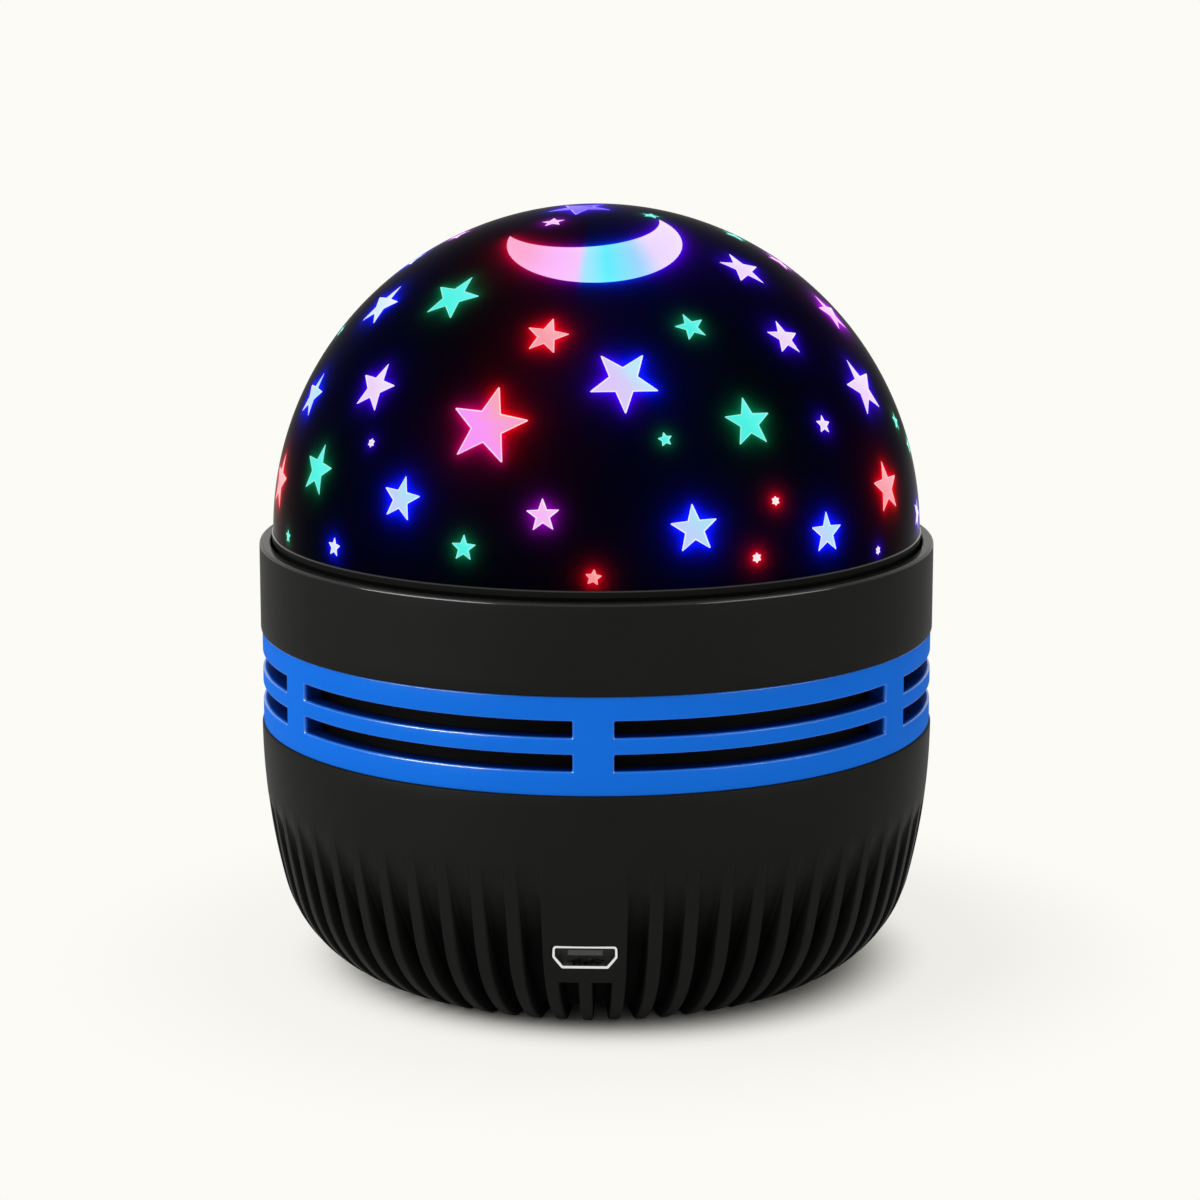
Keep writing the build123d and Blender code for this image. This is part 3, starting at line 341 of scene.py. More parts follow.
def srgb(red, green, blue):
    """Linear colour from one written in 0 to 255 display values."""
    parts = [c / 255 for c in (red, green, blue)]
    return tuple(c / 12.92 if c <= 0.04045 else ((c + 0.055) / 1.055) ** 2.4 for c in parts)


def moulded(name, dark, light, roughness, depth=0.012 * MM, gloss=0.03):
    """Moulded plastic: spark-eroded grain, slow changes in tone and sheen."""
    finish = Finish(name, {"Specular IOR Level": gloss})
    slow = finish.noise(14 * MM, 3)
    finish.tone, finish.sheen = finish.blend(slow, dark, light), (slow - 0.5) * 0.12 + roughness
    finish.feed(finish.shader, {"Base Color": finish.tone, "Roughness": finish.sheen})
    finish.bump(finish.noise(0.22 * MM, 3), depth)
    return finish


def charcoal_plastic(name):
    return moulded(name, srgb(29, 29, 29), srgb(33, 33, 33), 0.46, gloss=0.015)


# Painted shade: the shell's grooves and hollows are painted darker from this depth, over this
# reach.
SHADE_FROM, SHADE_REACH = 0.3 * MM, 1.5 * MM  # the grooves darken from this depth, over this


def line_distance(points, line):
    """Distances of flat points from a line through its own points."""
    away = np.full(len(points), 1.0)
    for start, end in zip(np.array(line[:-1]), np.array(line[1:])):
        run = end - start
        share = np.clip((points - start) @ run / (run @ run), 0, 1)
        away = np.minimum(away, np.linalg.norm(points - start - share[:, None] * run, axis=1))
    return away


def paint(mesh, name, colours):
    """Stores a colour at every vertex under that name."""
    layer = mesh.color_attributes.new(name, "FLOAT_COLOR", "POINT")
    layer.data.foreach_set("color", colours.ravel())


def paint_recess_shade(mesh):
    """Paints how far each vertex lies behind the shell's face, 0 to 1, as painted shade."""
    face = [(body_r, sleeve_top)] + [side_point(rib_length * i / 60) for i in range(61)]
    at = np.array([(hypot(v.co.x, v.co.y), v.co.z) for v in mesh.vertices])
    painted_recess_shade = np.clip((line_distance(at, face) - SHADE_FROM) / SHADE_REACH, 0, 1)
    paint(mesh, "painted_recess_shade", np.repeat(painted_recess_shade, 4))


charcoal = charcoal_plastic("satin_charcoal_plastic")
base = as_object("ribbed_base_shell", ribbed_shell())


# ---- Power socket ----
# A small charging receptacle on the main board, its plated shell flush with the pad at the base's
# front. The tongue with its contacts stands inside, near the wide upper side.

socket_low, socket_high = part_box("socket_shell")
socket_z = (socket_low.z + socket_high.z) / 2
SOCKET_FOOT_W = 5.2 * MM
SOCKET_SIDE_H = 1.4 * MM
SOCKET_WALL = 0.35 * MM
SOCKET_CORNER = 0.5 * MM  # of the wide side
SOCKET_FOLD = 0.14 * MM  # of the other folds
SOCKET_EDGE = 0.1 * MM  # of the mouth's rim
SOCKET_PLAY = 0.12 * MM


def socket_mouth(bm, grow, y):
    """Face in the shape of the socket's mouth, wide side up, with rounded corners."""
    top, half = (socket_high.z - socket_low.z) / 2 + grow, socket_high.x + grow
    side, foot = top - SOCKET_SIDE_H - grow, SOCKET_FOOT_W / 2 + grow / 2
    corners = ((-half, top), (-half, side), (-foot, -top), (foot, -top), (half, side), (half, top))
    mouth = bm.faces.new([bm.verts.new((x, y, socket_z + z)) for x, z in corners])
    wide = [v for v in mouth.verts if v.co.z > socket_z + top - 1e-6]
    folds = [v for v in mouth.verts if v not in wide]
    rounded(bm, wide, SOCKET_CORNER, 4, "VERTICES")
    rounded(bm, folds, SOCKET_FOLD, 4, "VERTICES")
    return bm.faces[:]


def rounded(bm, geom, reach, segments, kind="EDGES", clamp=False):
    """Rounds edges, or the corners of a flat face."""
    bmesh.ops.bevel(bm, geom=geom, offset=reach, offset_type="OFFSET", affect=kind,
                    segments=segments, profile=0.5, material=-1, clamp_overlap=clamp)


def pushed(bm, faces, travel):
    """Draws faces out along a vector into a closed solid."""
    drawn = bmesh.ops.extrude_face_region(bm, geom=faces, use_keep_orig=True)
    moved = [g for g in drawn["geom"] if isinstance(g, bmesh.types.BMVert)]
    bmesh.ops.translate(bm, verts=moved, vec=travel)
    bmesh.ops.recalc_face_normals(bm, faces=bm.faces)
    return bm


hole = bmesh.new()
cut(base, pushed(hole, socket_mouth(hole, SOCKET_PLAY, -1.1 * body_r), (0, 0.5 * body_r, 0)))


def plated_shell():
    """Folded sheet: the mouth's outline drawn into a tube with a rounded front edge."""
    bm = bmesh.new()
    faces = socket_mouth(bm, 0, socket_low.y)
    bmesh.ops.inset_region(bm, faces=faces, thickness=SOCKET_WALL, use_even_offset=True,
                           use_boundary=True)
    rim = [f for f in bm.faces if f not in faces]
    bmesh.ops.delete(bm, geom=faces, context="FACES")
    pushed(bm, rim, (0, socket_high.y - socket_low.y, 0))
    front = [e for e in bm.edges if all(abs(v.co.y - socket_low.y) < 1e-7 for v in e.verts)
             and any(abs(f.normal.y) < 0.5 for f in e.link_faces)]
    rounded(bm, front, SOCKET_EDGE, 2)
    return bm


plated = Finish("bright_plated_steel", {"Metallic": 1.0})
plated.feed(plated.shader, {
    "Base Color": plated.blend(plated.noise(3 * MM), (0.86, 0.87, 0.88), (0.74, 0.75, 0.76)),
    "Roughness": plated.noise(1.5 * MM) * 0.15 + 0.18})
shell = as_object("socket_plated_shell", plated_shell())
fit(shell, "housing", plated, "socket_shell")


# ---- Mode button ----
# An oblong cap of soft black plastic in the pad at the back, held by a lip behind the wall.

button_low, button_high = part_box("mode_button")
BUTTON_W = 5.0 * MM
BUTTON_H = 2.6 * MM
BUTTON_ROUND = 0.45 * MM
BUTTON_PLAY = 0.15 * MM
BUTTON_LIP = 0.8 * MM


def oblong(bm, width, height, y):
    """Face with round ends at the button's height."""
    points = []
    for side, start in ((1, -pi / 2), (-1, pi / 2)):
        turned = arc((0, 0), height / 2, start, start + pi, 12)
        points += [(x + side * (width - height) / 2, z) for x, z in turned]
    centre_z = (button_low.z + button_high.z) / 2
    return bm.faces.new([bm.verts.new((x, y, centre_z + z)) for x, z in points])


def button_cap():
    bm = bmesh.new()
    face = oblong(bm, BUTTON_W, BUTTON_H, button_low.y)
    pushed(bm, [face], (0, button_high.y - button_low.y, 0))
    outer = [e for e in bm.edges if all(abs(v.co.y - button_high.y) < 1e-7 for v in e.verts)]
    rounded(bm, outer, BUTTON_ROUND, 4)
    lip = oblong(bm, button_high.x - button_low.x, button_high.z - button_low.z, button_low.y)
    return pushed(bm, [lip], (0, BUTTON_LIP, 0))


hole = bmesh.new()
mouth = oblong(hole, BUTTON_W + 2 * BUTTON_PLAY, BUTTON_H + 2 * BUTTON_PLAY, 1.1 * body_r)
cut(base, pushed(hole, [mouth], (0, -0.5 * body_r, 0)))
paint_recess_shade(base.data)
# Painted shade: the ribs' charcoal is painted down to srgb(11, 11, 11) where the shell lies deep
# behind its face.
ribbed = charcoal_plastic("satin_charcoal_ribs_painted_shade")
shade = ribbed.painted("painted_recess_shade")
ribbed.feed(ribbed.shader, {"Base Color": ribbed.blend(shade, ribbed.tone, srgb(11, 11, 11))})
fit(base, "housing", ribbed, "base_shell")
soft_black = moulded("soft_black_button", srgb(24, 24, 24), srgb(30, 30, 30), 0.6)
button = as_object("mode_button_cap", button_cap())
fit(button, "button", soft_black, "mode_button")


# ---- Vent band ----
# A blue moulded ring between base and collar, with two rows of slots between six posts. The dark
# sleeve shows through them, and the slots' own faces are painted a darker blue as painted shade.
# Its edges are slightly rounded and catch the light.

POST_W = 4.6 * MM
SLOT_H = 1.92 * MM
BAR_H = 1.88 * MM
BAND_TURN = 1.5
BAND_WALL = 2.5 * MM
BAND_EDGE = 0.2 * MM
BAND_POSTS = 6
SECTOR_STEPS, POST_STEPS = 48, 4  # columns from post to post, and on a post
ROUND_STEPS = 240  # columns of the collar and the dome
band_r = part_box("vent_band")[1].x


def wheel(outline, steps, ring=True):
    """Turns (radius, height) points about Z: a ring's section, or a line that ends on the axis."""
    bm = bmesh.new()
    line = [bm.verts.new((r, 0, z)) for r, z in outline]
    ends = line[1:] + line[:1] if ring else line[1:]
    edges = [bm.edges.new(pair) for pair in zip(line, ends)]
    bmesh.ops.spin(bm, geom=line + edges, cent=(0, 0, 0), axis=(0, 0, 1), angle=tau, steps=steps,
                   use_merge=True)
    return closed(bm, 0.002 * MM if ring else 0.001 * MM)


def slotted_band():
    """A ring whose columns follow the posts; its slot faces are opened and joined through."""
    middle = (band_z + collar_z) / 2
    levels = [band_z, middle - BAR_H / 2 - SLOT_H, middle - BAR_H / 2,
              middle + BAR_H / 2, middle + BAR_H / 2 + SLOT_H, collar_z]
    inner_r = band_r - BAND_WALL
    outline = [(band_r, z) for z in levels] + [(inner_r, z) for z in reversed(levels)]
    bm = wheel(outline, BAND_POSTS * SECTOR_STEPS)
    sector, post = tau / BAND_POSTS, POST_W / band_r
    first = radians(BAND_TURN) - pi / 2 - post / 2
    for v in bm.verts:
        radius, angle = hypot(v.co.x, v.co.y), atan2(v.co.y, v.co.x) % tau
        number, part = divmod(round(angle / tau * BAND_POSTS * SECTOR_STEPS), SECTOR_STEPS)
        if part <= POST_STEPS:
            turn = post * part / POST_STEPS
        else:
            turn = post + (sector - post) * (part - POST_STEPS) / (SECTOR_STEPS - POST_STEPS)
        turn += first + number * sector
        v.co.x, v.co.y = radius * cos(turn), radius * sin(turn)
    for number in range(BAND_POSTS):
        for low, high in ((levels[1], levels[2]), (levels[3], levels[4])):
            opened = []
            for f in bm.faces:
                centre = f.calc_center_median()
                turn = (atan2(centre.y, centre.x) - first) % tau - number * sector
                if post < turn < sector and low < centre.z < high and abs(f.normal.z) < 0.5:
                    opened.append(f)
            bmesh.ops.delete(bm, geom=opened, context="FACES")
            bmesh.ops.bridge_loops(bm, edges=[e for e in bm.edges if e.is_boundary])
    bmesh.ops.delete(bm, geom=[v for v in bm.verts if not v.link_faces], context="VERTS")
    bmesh.ops.recalc_face_normals(bm, faces=bm.faces)
    corner = [e for e in bm.edges if e.is_manifold and e.calc_face_angle() > radians(60)]
    rounded(bm, corner, BAND_EDGE, 3, clamp=True)
    return bm


blue = moulded("satin_blue_painted_slot_shade", srgb(20, 113, 233), srgb(24, 119, 243), 0.32,
               depth=0.006 * MM, gloss=0.0)
x, y = blue.along("X"), blue.along("Y")
out = blue.node("ShaderNodeMath", {"operation": "SQRT"}, {0: x * x + y * y})
# Painted shade: inside the slots, behind the outer face, the band is painted dark blue, srgb(2, 38,
# 108), and made rough.
outside = blue.over(out, band_r - 2 * BAND_EDGE, BAND_EDGE)
edges = blue.over(out, band_r - 1.3 * BAND_EDGE, 0.1 * BAND_EDGE) - blue.over(
    out, band_r - 0.12 * BAND_EDGE, 0.1 * BAND_EDGE)
blue.feed(blue.shader, {"Base Color": blue.blend(outside, srgb(2, 38, 108), blue.tone),
                        "Roughness": 0.9 - outside * (0.9 - blue.sheen),
                        "Coat Weight": edges * 0.95 + 0.05, "Coat Roughness": 0.2})
band = as_object("slotted_vent_band", slotted_band())
fit(band, "housing", blue, "vent_band")


# ---- Collar ----
# The upper housing ring, in the same charcoal plastic, pressed over the sleeve. Its thin rim is
# polished where the tool parts, so its edge shines. It leaves a narrow gap to the dome's foot.

rim_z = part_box("collar")[1].z
COLLAR_WALL = 1.35 * MM
RIM_ROUND = 0.35 * MM
RIM_LIP = 0.25 * MM
COLLAR_PLAY = 0.3 * MM
SLEEVE_PLAY = 0.1 * MM


def collar_ring():
    inner_r, lower_in = body_r - COLLAR_WALL, body_r - SLEEVE_OUT + SLEEVE_PLAY
    ledge = sleeve_top + COLLAR_PLAY
    outline = arc((body_r - RIM_EDGE, collar_z + RIM_EDGE), RIM_EDGE, -pi / 2, 0, 3)
    outline += [(body_r, collar_z + (rim_z - collar_z) * i / 6) for i in (1, 3, 5)]
    outline += arc((body_r - RIM_ROUND, rim_z - RIM_ROUND), RIM_ROUND, 0, pi / 2, 6)
    outline += arc((inner_r + RIM_LIP, rim_z - RIM_LIP), RIM_LIP, pi / 2, pi, 4)
    outline += [(inner_r, ledge), (lower_in, ledge), (lower_in, collar_z)]
    return wheel(outline, ROUND_STEPS)


rim_charcoal = charcoal_plastic("charcoal_with_polished_rim")
polished = rim_charcoal.over(rim_charcoal.along("Z"), rim_z - 0.3 * MM, 0.04 * MM)
rim_charcoal.feed(rim_charcoal.shader, {"Coat Weight": polished * 0.4, "Coat Roughness": 0.12})
collar = as_object("collar_ring", collar_ring())
fit(collar, "housing", rim_charcoal, "collar")


# ---- Dome ----
# A half sphere of polished black plastic with star and crescent openings, on a matt foot ring and a
# straight skirt. The skin round each opening is painted to glow in the star's colour: a painted
# halo of its light.

dome_low, dome_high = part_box("dome_skin")
FOOT_RING = 0.15 * MM  # how far it stands out of the dome
FOOT_RING_RISE = 0.2 * MM
FOOT_RING_DROP = 0.6 * MM
SKIRT_INSET = 0.35 * MM
dome_r = dome_high.x - FOOT_RING
dome_z = dome_high.z - dome_r
dome_centre = Vector((0, 0, dome_z))
SKIN_T = 1.2 * MM
STAR_WAIST = 0.41
SIX_TIPS_R, SIX_WAIST = 0.7, 0.6  # stars below this radius have six tips, and this waist
TIP_ROUND = 0.11 * MM  # beside its share of the star's radius
TIP_SHARE = 0.04
PLUMP, PLUMP_R = 0.09, 1.8  # a star's waist grows by this for each mm below that radius
MOON_DISCS = ((1.0, 71.3, 10.0), (-12.0, 79.7, 8.9))  # the crescent's disc and its bite
MOONS, MOON_FRAME = (0, 180), 65  # the crescents' turns and their frames' elevation
APEX_STAR = (-42.0, 86.0, 4.0, 0.0, "indigo")
STARS = [  # azimuth, elevation, radius in mm, turn, glow
    (57.5, 78.5, 1.2, 60, "green"), (-30.5, 76, 1.5, 45, "pink"), (91, 65, 2.0, 20, "green"),
    (89.5, 56, 2.4, 24, "pink"), (56, 57.5, 3.1, 18, "lilac"), (-40, 51, 3.6, 6, "green"),
    (-67, 46.5, 3.3, -3, "pale"), (80, 43.5, 3.0, 10, "violet"), (25, 45.5, 2.0, -12, "green"),
    (-84, 38.5, 1.2, 0, "green"), (-9.5, 44, 2.6, 9, "red"), (49.5, 41.5, 2.5, 9, "lilac"),
    (7.5, 35.5, 4.1, 36, "dusk"), (-47.5, 31.5, 3.2, 6, "lilac"), (68, 29.5, 3.8, -3, "lilac"),
    (-71.5, 27, 3.0, 0, "blue"), (79, 21.5, 1.3, 18, "green"), (85.5, 16, 1.6, 0, "green"),
    (31.5, 27, 3.1, 0, "green"), (49, 25, 1.2, 9, "lilac"), (-18.5, 27, 4.8, 6, "rose"),
    (14.5, 25, 0.9, -9, "green"), (-43, 22, 0.6, 0, "lilac"), (-57, 15.5, 3.2, 6, "green"),
    (-76, 10.5, 3.6, 3, "red"), (64, 12, 3.2, 0, "red"), (34, 13.5, 0.6, 0, "spark"),
    (-33.5, 13.5, 2.7, 6, "blue"), (81, 4.5, 2.2, 24, "lilac"), (-7, 12.5, 2.0, -3, "pink"),
    (18.5, 10, 2.9, -3, "blue"), (44.5, 7, 2.5, 3, "blue"), (-66, 2.5, 0.9, 0, "green"),
    (-48.5, 3.5, 1.2, 3, "pale"), (-20.5, 6.5, 1.6, 0, "green"), (58.5, 2, 0.6, 0, "lilac"),
    (29.5, 4.5, 0.65, 0, "spark"), (1.5, 2.5, 1.0, 6, "coral"),
]
# A glow's last one or two tones are a painted halo, the glow painted into the skin round a star.
GLOWS = {  # two display tones inside, and the light in the skin in one or two
    "green": ((98, 250, 238), (74, 246, 226), (0, 0.14, 0.05)),
    "red": ((254, 176, 182), (252, 160, 168), (0.95, 0, 0.006)),
    "rose": ((252, 168, 184), (252, 152, 248), (0.85, 0, 0.006), (0.5, 0, 0.1)),
    "pink": ((250, 196, 246), (252, 188, 250), (0.26, 0, 0.42)),
    "violet": ((250, 215, 246), (246, 190, 240), (0.6, 0, 1.1)),
    "blue": ((168, 234, 250), (192, 216, 252), (0.003, 0.01, 1.7)),
    "pale": ((236, 242, 250), (205, 234, 252), (0.003, 0.01, 1.3)),
    "dusk": ((190, 238, 252), (222, 204, 250), (0.003, 0.01, 1.6), (0.06, 0, 1.0)),
    "lilac": ((244, 230, 250), (240, 214, 251), (0.04, 0, 0.8)),
    "indigo": ((85, 48, 250), (110, 70, 250), (0.05, 0, 1.0)),
    "spark": ((255, 244, 244), (252, 222, 222), (1.3, 0, 0.02)),
    "coral": ((252, 172, 166), (250, 146, 146), (0.95, 0, 0.01)),
}
FAR_GLOWS = {89.5: "pale", 91: "pink"}  # of these stars' far copies


def all_stars():
    far = [(s[0] + 180, *s[1:4], FAR_GLOWS.get(s[0], s[4])) for s in STARS]
    return [APEX_STAR] + STARS + far


def direction(azimuth, elevation):
    """Unit vector; azimuth 0 is the front and 90 the right."""
    a, e = radians(azimuth), radians(elevation)
    return Vector((sin(a) * cos(e), -cos(a) * cos(e), sin(e)))


def on_dome(azimuth, elevation):
    """Matrix of a frame at the dome's centre, +Z out through that point and +Y up the dome."""
    out, a = direction(azimuth, elevation), radians(azimuth)
    east = Vector((cos(a), sin(a), 0))
    turned = Matrix((east, out.cross(east), out)).transposed().to_4x4()
    return Matrix.Translation(dome_centre) @ turned


def star_corners(tip_r, turn):
    """Corners of a flat star, from a tip on."""
    tips, waist = 5, STAR_WAIST + PLUMP * max(0, PLUMP_R - tip_r)
    if tip_r < SIX_TIPS_R:
        tips, waist = 6, SIX_WAIST
    points = []
    for i in range(2 * tips):
        r = tip_r * MM * (1 if i % 2 == 0 else waist)
        a = pi / 2 - radians(turn) - i * pi / tips
        points.append((r * cos(a), r * sin(a)))
    return points


def star_face(bm, tip_r, turn, z):
    """Flat star with its tips slightly rounded."""
    face = bm.faces.new([bm.verts.new((x, y, z)) for x, y in star_corners(tip_r, turn)])
    rounded(bm, list(face.verts)[0::2], TIP_ROUND + TIP_SHARE * tip_r * MM, 2, "VERTICES")
    bm.faces.ensure_lookup_table()
    return bm.faces[0]


def moon_points(half_turn):
    """A crescent's outline, seen from the dome's centre: the disc's arc, then the bite's."""
    frames = [(on_dome(a, e).to_3x3(), r * MM) for a, e, r in MOON_DISCS]

    def ring(index):
        turned, r = frames[index]
        h = sqrt(dome_r**2 - r**2)
        return [turned @ Vector((x, y, h)) for x, y in arc((0, 0), r, 0, tau, 144)[:-1]]

    def within(p, index):
        turned, r = frames[index]
        return p.normalized().dot(turned.col[2]) * dome_r > sqrt(dome_r**2 - r**2)

    def from_gap(points):
        start = max(range(len(points)), key=lambda i: (points[i] - points[i - 1]).length)
        return points[start:] + points[:start]

    outer = from_gap([p for p in ring(0) if not within(p, 1)])
    inner = from_gap([p for p in ring(1) if within(p, 0)])
    if (inner[0] - outer[-1]).length > (inner[-1] - outer[-1]).length:
        inner.reverse()
    side = -1 if half_turn else 1
    return [Vector((side * p.x, side * p.y, p.z)) for p in outer + inner]


def opening_cutters():
    """The openings' cutters in one mesh: closed prisms and two radial crescents."""
    bm = bmesh.new()
    low, high = dome_r - 2 * SKIN_T, dome_r + 1 * MM
    for azimuth, elevation, tip_r, turn, _ in all_stars():
        one = bmesh.new()
        pushed(one, [star_face(one, tip_r, turn, low)], (0, 0, high - low))
        one.transform(on_dome(azimuth, elevation))
        add(bm, one)
    for half_turn in MOONS:
        one = bmesh.new()
        outline = moon_points(half_turn)
        inner = [one.verts.new(dome_centre + p * (low / dome_r)) for p in outline]
        outer = [one.verts.new(dome_centre + p * (high / dome_r)) for p in outline]
        ends = [one.faces.new(inner), one.faces.new(outer)]
        bmesh.ops.bridge_loops(one, edges=[e for f in ends for e in f.edges])
        bmesh.ops.triangulate(one, faces=[f for f in one.faces if len(f.verts) > 4])
        bmesh.ops.recalc_face_normals(one, faces=one.faces)
        add(bm, one)
    return bm


def add(bm, other):
    """Adds another bmesh to bm and frees it."""
    mesh = bpy.data.meshes.new("part")
    other.to_mesh(mesh)
    other.free()
    bm.from_mesh(mesh)
    bpy.data.meshes.remove(mesh)


# Painted halo: how the glow painted into the skin round an opening falls off, and how far it
# reaches.
HALO_FALLOFF = ((0.25 * MM, 1.0), (0.5 * MM, 1.0), (1 * MM, 0.25), (3 * MM, 0.15))  # reach and share
HALO_END = 9.0 * MM  # beyond a star's tips
MOON_HALO_END = 22.0 * MM  # from a crescent's middle


def lit_spots(corners, spacing):
    """Middles of the squares of a grid that lie inside a flat outline."""
    low, high = np.min(corners, axis=0), np.max(corners, axis=0)
    rows = [np.arange(a + spacing / 2, b, spacing) for a, b in zip(low, high)]
    spots = np.stack(np.meshgrid(*rows), axis=-1).reshape(-1, 2)
    inside = np.zeros(len(spots), bool)
    for (ax, ay), (bx, by) in zip(corners, corners[1:] + corners[:1]):
        crosses = (ay > spots[:, 1]) != (by > spots[:, 1])
        inside ^= crosses & (spots[:, 0] < ax + (bx - ax) * (spots[:, 1] - ay) / (by - ay + 1e-15))
    return spots[inside]


def painted_halo(points, corners, spacing):
    """Painted halo at the points: glow that falls off with distance from every spot of an opening.
    """
    light = np.zeros(len(points))
    for spot in lit_spots(corners, spacing):
        away = np.hypot(points[:, 0] - spot[0], points[:, 1] - spot[1])
        for reach, part in HALO_FALLOFF:
            light += part * spacing**2 / (tau * reach**2) * np.exp(-away / reach)
    return light[:, None]


# The third column is the painted halo in the skin, the fourth the outline's painted highlight.
MOON_TONES = [  # azimuth, face, light in the skin round it, outline
    (-60, (252, 166, 198), (0.7, 0, 0.015), (255, 60, 80)),
    (-26, (254, 172, 212), (0.42, 0, 0.04), (255, 110, 150)),
    (-14, (254, 186, 250), (0.24, 0, 0.12), (255, 190, 240)),
    (-4.5, (250, 200, 253), (0.08, 0, 0.3), (255, 240, 255)),
    (-2, (170, 232, 254), (0, 0.02, 0.5), (240, 252, 255)),
    (5.5, (90, 243, 253), (0, 0.02, 0.65), (235, 253, 255)),
    (17, (158, 218, 253), (0.01, 0.01, 0.65), (245, 252, 255)),
    (25, (238, 218, 254), (0.05, 0, 0.7), (255, 252, 255)),
    (60, (246, 228, 254), (0.1, 0, 0.75), (255, 252, 255))]


def moon_tone(azimuths, which):
    """Crescent colours by azimuth: 1 face, 2 painted halo in the skin round it, 3 painted outline
    highlight.
    """
    stops = [t[0] for t in MOON_TONES]
    tones = [t[2] if which == 2 else srgb(*t[which]) for t in MOON_TONES]
    azimuths = (azimuths + 180) % 360 - 180
    return np.stack([np.interp(azimuths, stops, [t[c] for t in tones]) for c in range(3)], -1)


def tone_share(x, y, size):
    """Share of a star's second tone: all but its upper right."""
    return np.clip(0.85 - 2 * (x + 0.6 * y) / size, 0, 1)


def around(at, azimuth, elevation, reach):
    """Points in a frame of the dome, and which of them lie within reach of its axis."""
    local = at @ np.array(on_dome(azimuth, elevation).to_3x3())
    return local, (np.hypot(local[:, 0], local[:, 1]) < reach) & (local[:, 2] > 0)


def flat_moon(half_turn):
    """A crescent's outline in its own frame."""
    turned = np.array(on_dome(half_turn, MOON_FRAME).to_3x3())
    return [tuple(turned.T @ np.array(p))[:2] for p in moon_points(half_turn)]


def paint_skin_halo(mesh):
    """Paints a glow into the skin round the openings: a painted halo of their light."""
    at = np.array([v.co[:] for v in mesh.vertices]) - (0, 0, dome_z)
    light = np.zeros((len(at), 3))
    for azimuth, elevation, tip_r, turn, glow in all_stars():
        local, near = around(at, azimuth, elevation, HALO_END + tip_r * MM)
        share = tone_share(*local[near][:, :2].T, tip_r * MM)[:, None]
        tone = (1 - share) * np.array(GLOWS[glow][2]) + share * np.array(GLOWS[glow][-1])
        light[near] += tone * painted_halo(local[near], star_corners(tip_r, turn),
                                    min(0.2, tip_r / 9) * MM)
    for half_turn in MOONS:
        local, near = around(at, half_turn, MOON_FRAME, MOON_HALO_END)
        azimuths = np.degrees(np.arctan2(at[near][:, 0], -at[near][:, 1])) - half_turn
        light[near] += moon_tone(azimuths, 2) * painted_halo(local[near], flat_moon(half_turn), 0.25 * MM)
    paint(mesh, "painted_halo_glow", np.hstack([np.minimum(light, 1.0), np.ones((len(at), 1))]))


def round_normals(mesh):
    """Sets true sphere normals on the dome's polished faces."""
    normals = []
    for polygon in mesh.polygons:
        for vertex in polygon.vertices:
            out = mesh.vertices[vertex].co - dome_centre
            out.z = max(out.z, 0)
            radial = out.normalized()
            polished = polygon.normal.dot(radial) > 0.95 and abs(out.length - dome_r) < 0.03 * MM
            normals.append(radial if polished else polygon.normal)
    mesh.normals_split_custom_set(normals)


def dome_outline():
    """Outline of half the dome's section, fine on the outside, with its foot ring and skirt."""
    ring_angle = asin(FOOT_RING_RISE / dome_r)
    edge = dome_r * (1 - cos(ring_angle)) + FOOT_RING
    outer = arc((0, dome_z), dome_r, pi / 2, ring_angle, 72)
    shoulder = (outer[-1][0], outer[-1][1] - edge)
    ring_z = dome_z - FOOT_RING_DROP
    foot = arc(shoulder, edge, pi / 2, 0, 5)[1:] + [
        (dome_high.x, ring_z), (dome_r - SKIRT_INSET, ring_z), (dome_r - SKIRT_INSET, dome_low.z),
        (dome_r - SKIN_T, dome_low.z)]
    inner = arc((0, dome_z), dome_r - SKIN_T, 0, pi / 2, 16)
    return outer + foot + inner


def refined(bm, reach):
    """Splits the faces of the polished skin within reach of an opening's outline in four."""
    faces = [f for f in bm.faces if f.normal.z > 0 and f.calc_center_median().z > dome_z + MM]
    at = np.array([f.calc_center_median()[:] for f in faces]) - (0, 0, dome_z)
    away = np.full(len(at), 1.0)
    outlines = [(s[:2], star_corners(*s[2:4])) for s in all_stars()]
    outlines += [((half_turn, MOON_FRAME), flat_moon(half_turn)[::3]) for half_turn in MOONS]
    for middle, corners in outlines:
        local, near = around(at, *middle, 14 * MM)
        near &= np.linalg.norm(at, axis=1) > dome_r - 0.5 * MM
        line = corners + corners[:1]
        away[near] = np.minimum(away[near], line_distance(local[near][:, :2], line))
    edges = {e for f, d in zip(faces, away) if d < reach for e in f.edges}
    bmesh.ops.subdivide_edges(bm, edges=list(edges), cuts=1, use_grid_fill=True)


def dome_mesh():
    bm = wheel(dome_outline(), ROUND_STEPS, ring=False)
    refined(bm, 1.3 * MM)
    refined(bm, 0.55 * MM)
    for v in bm.verts:
        out = v.co - dome_centre
        if v.co.z > dome_z + 0.9 * FOOT_RING_RISE and out.length > dome_r - 0.5 * MM:
            v.co = dome_centre + out.normalized() * dome_r
    return bm


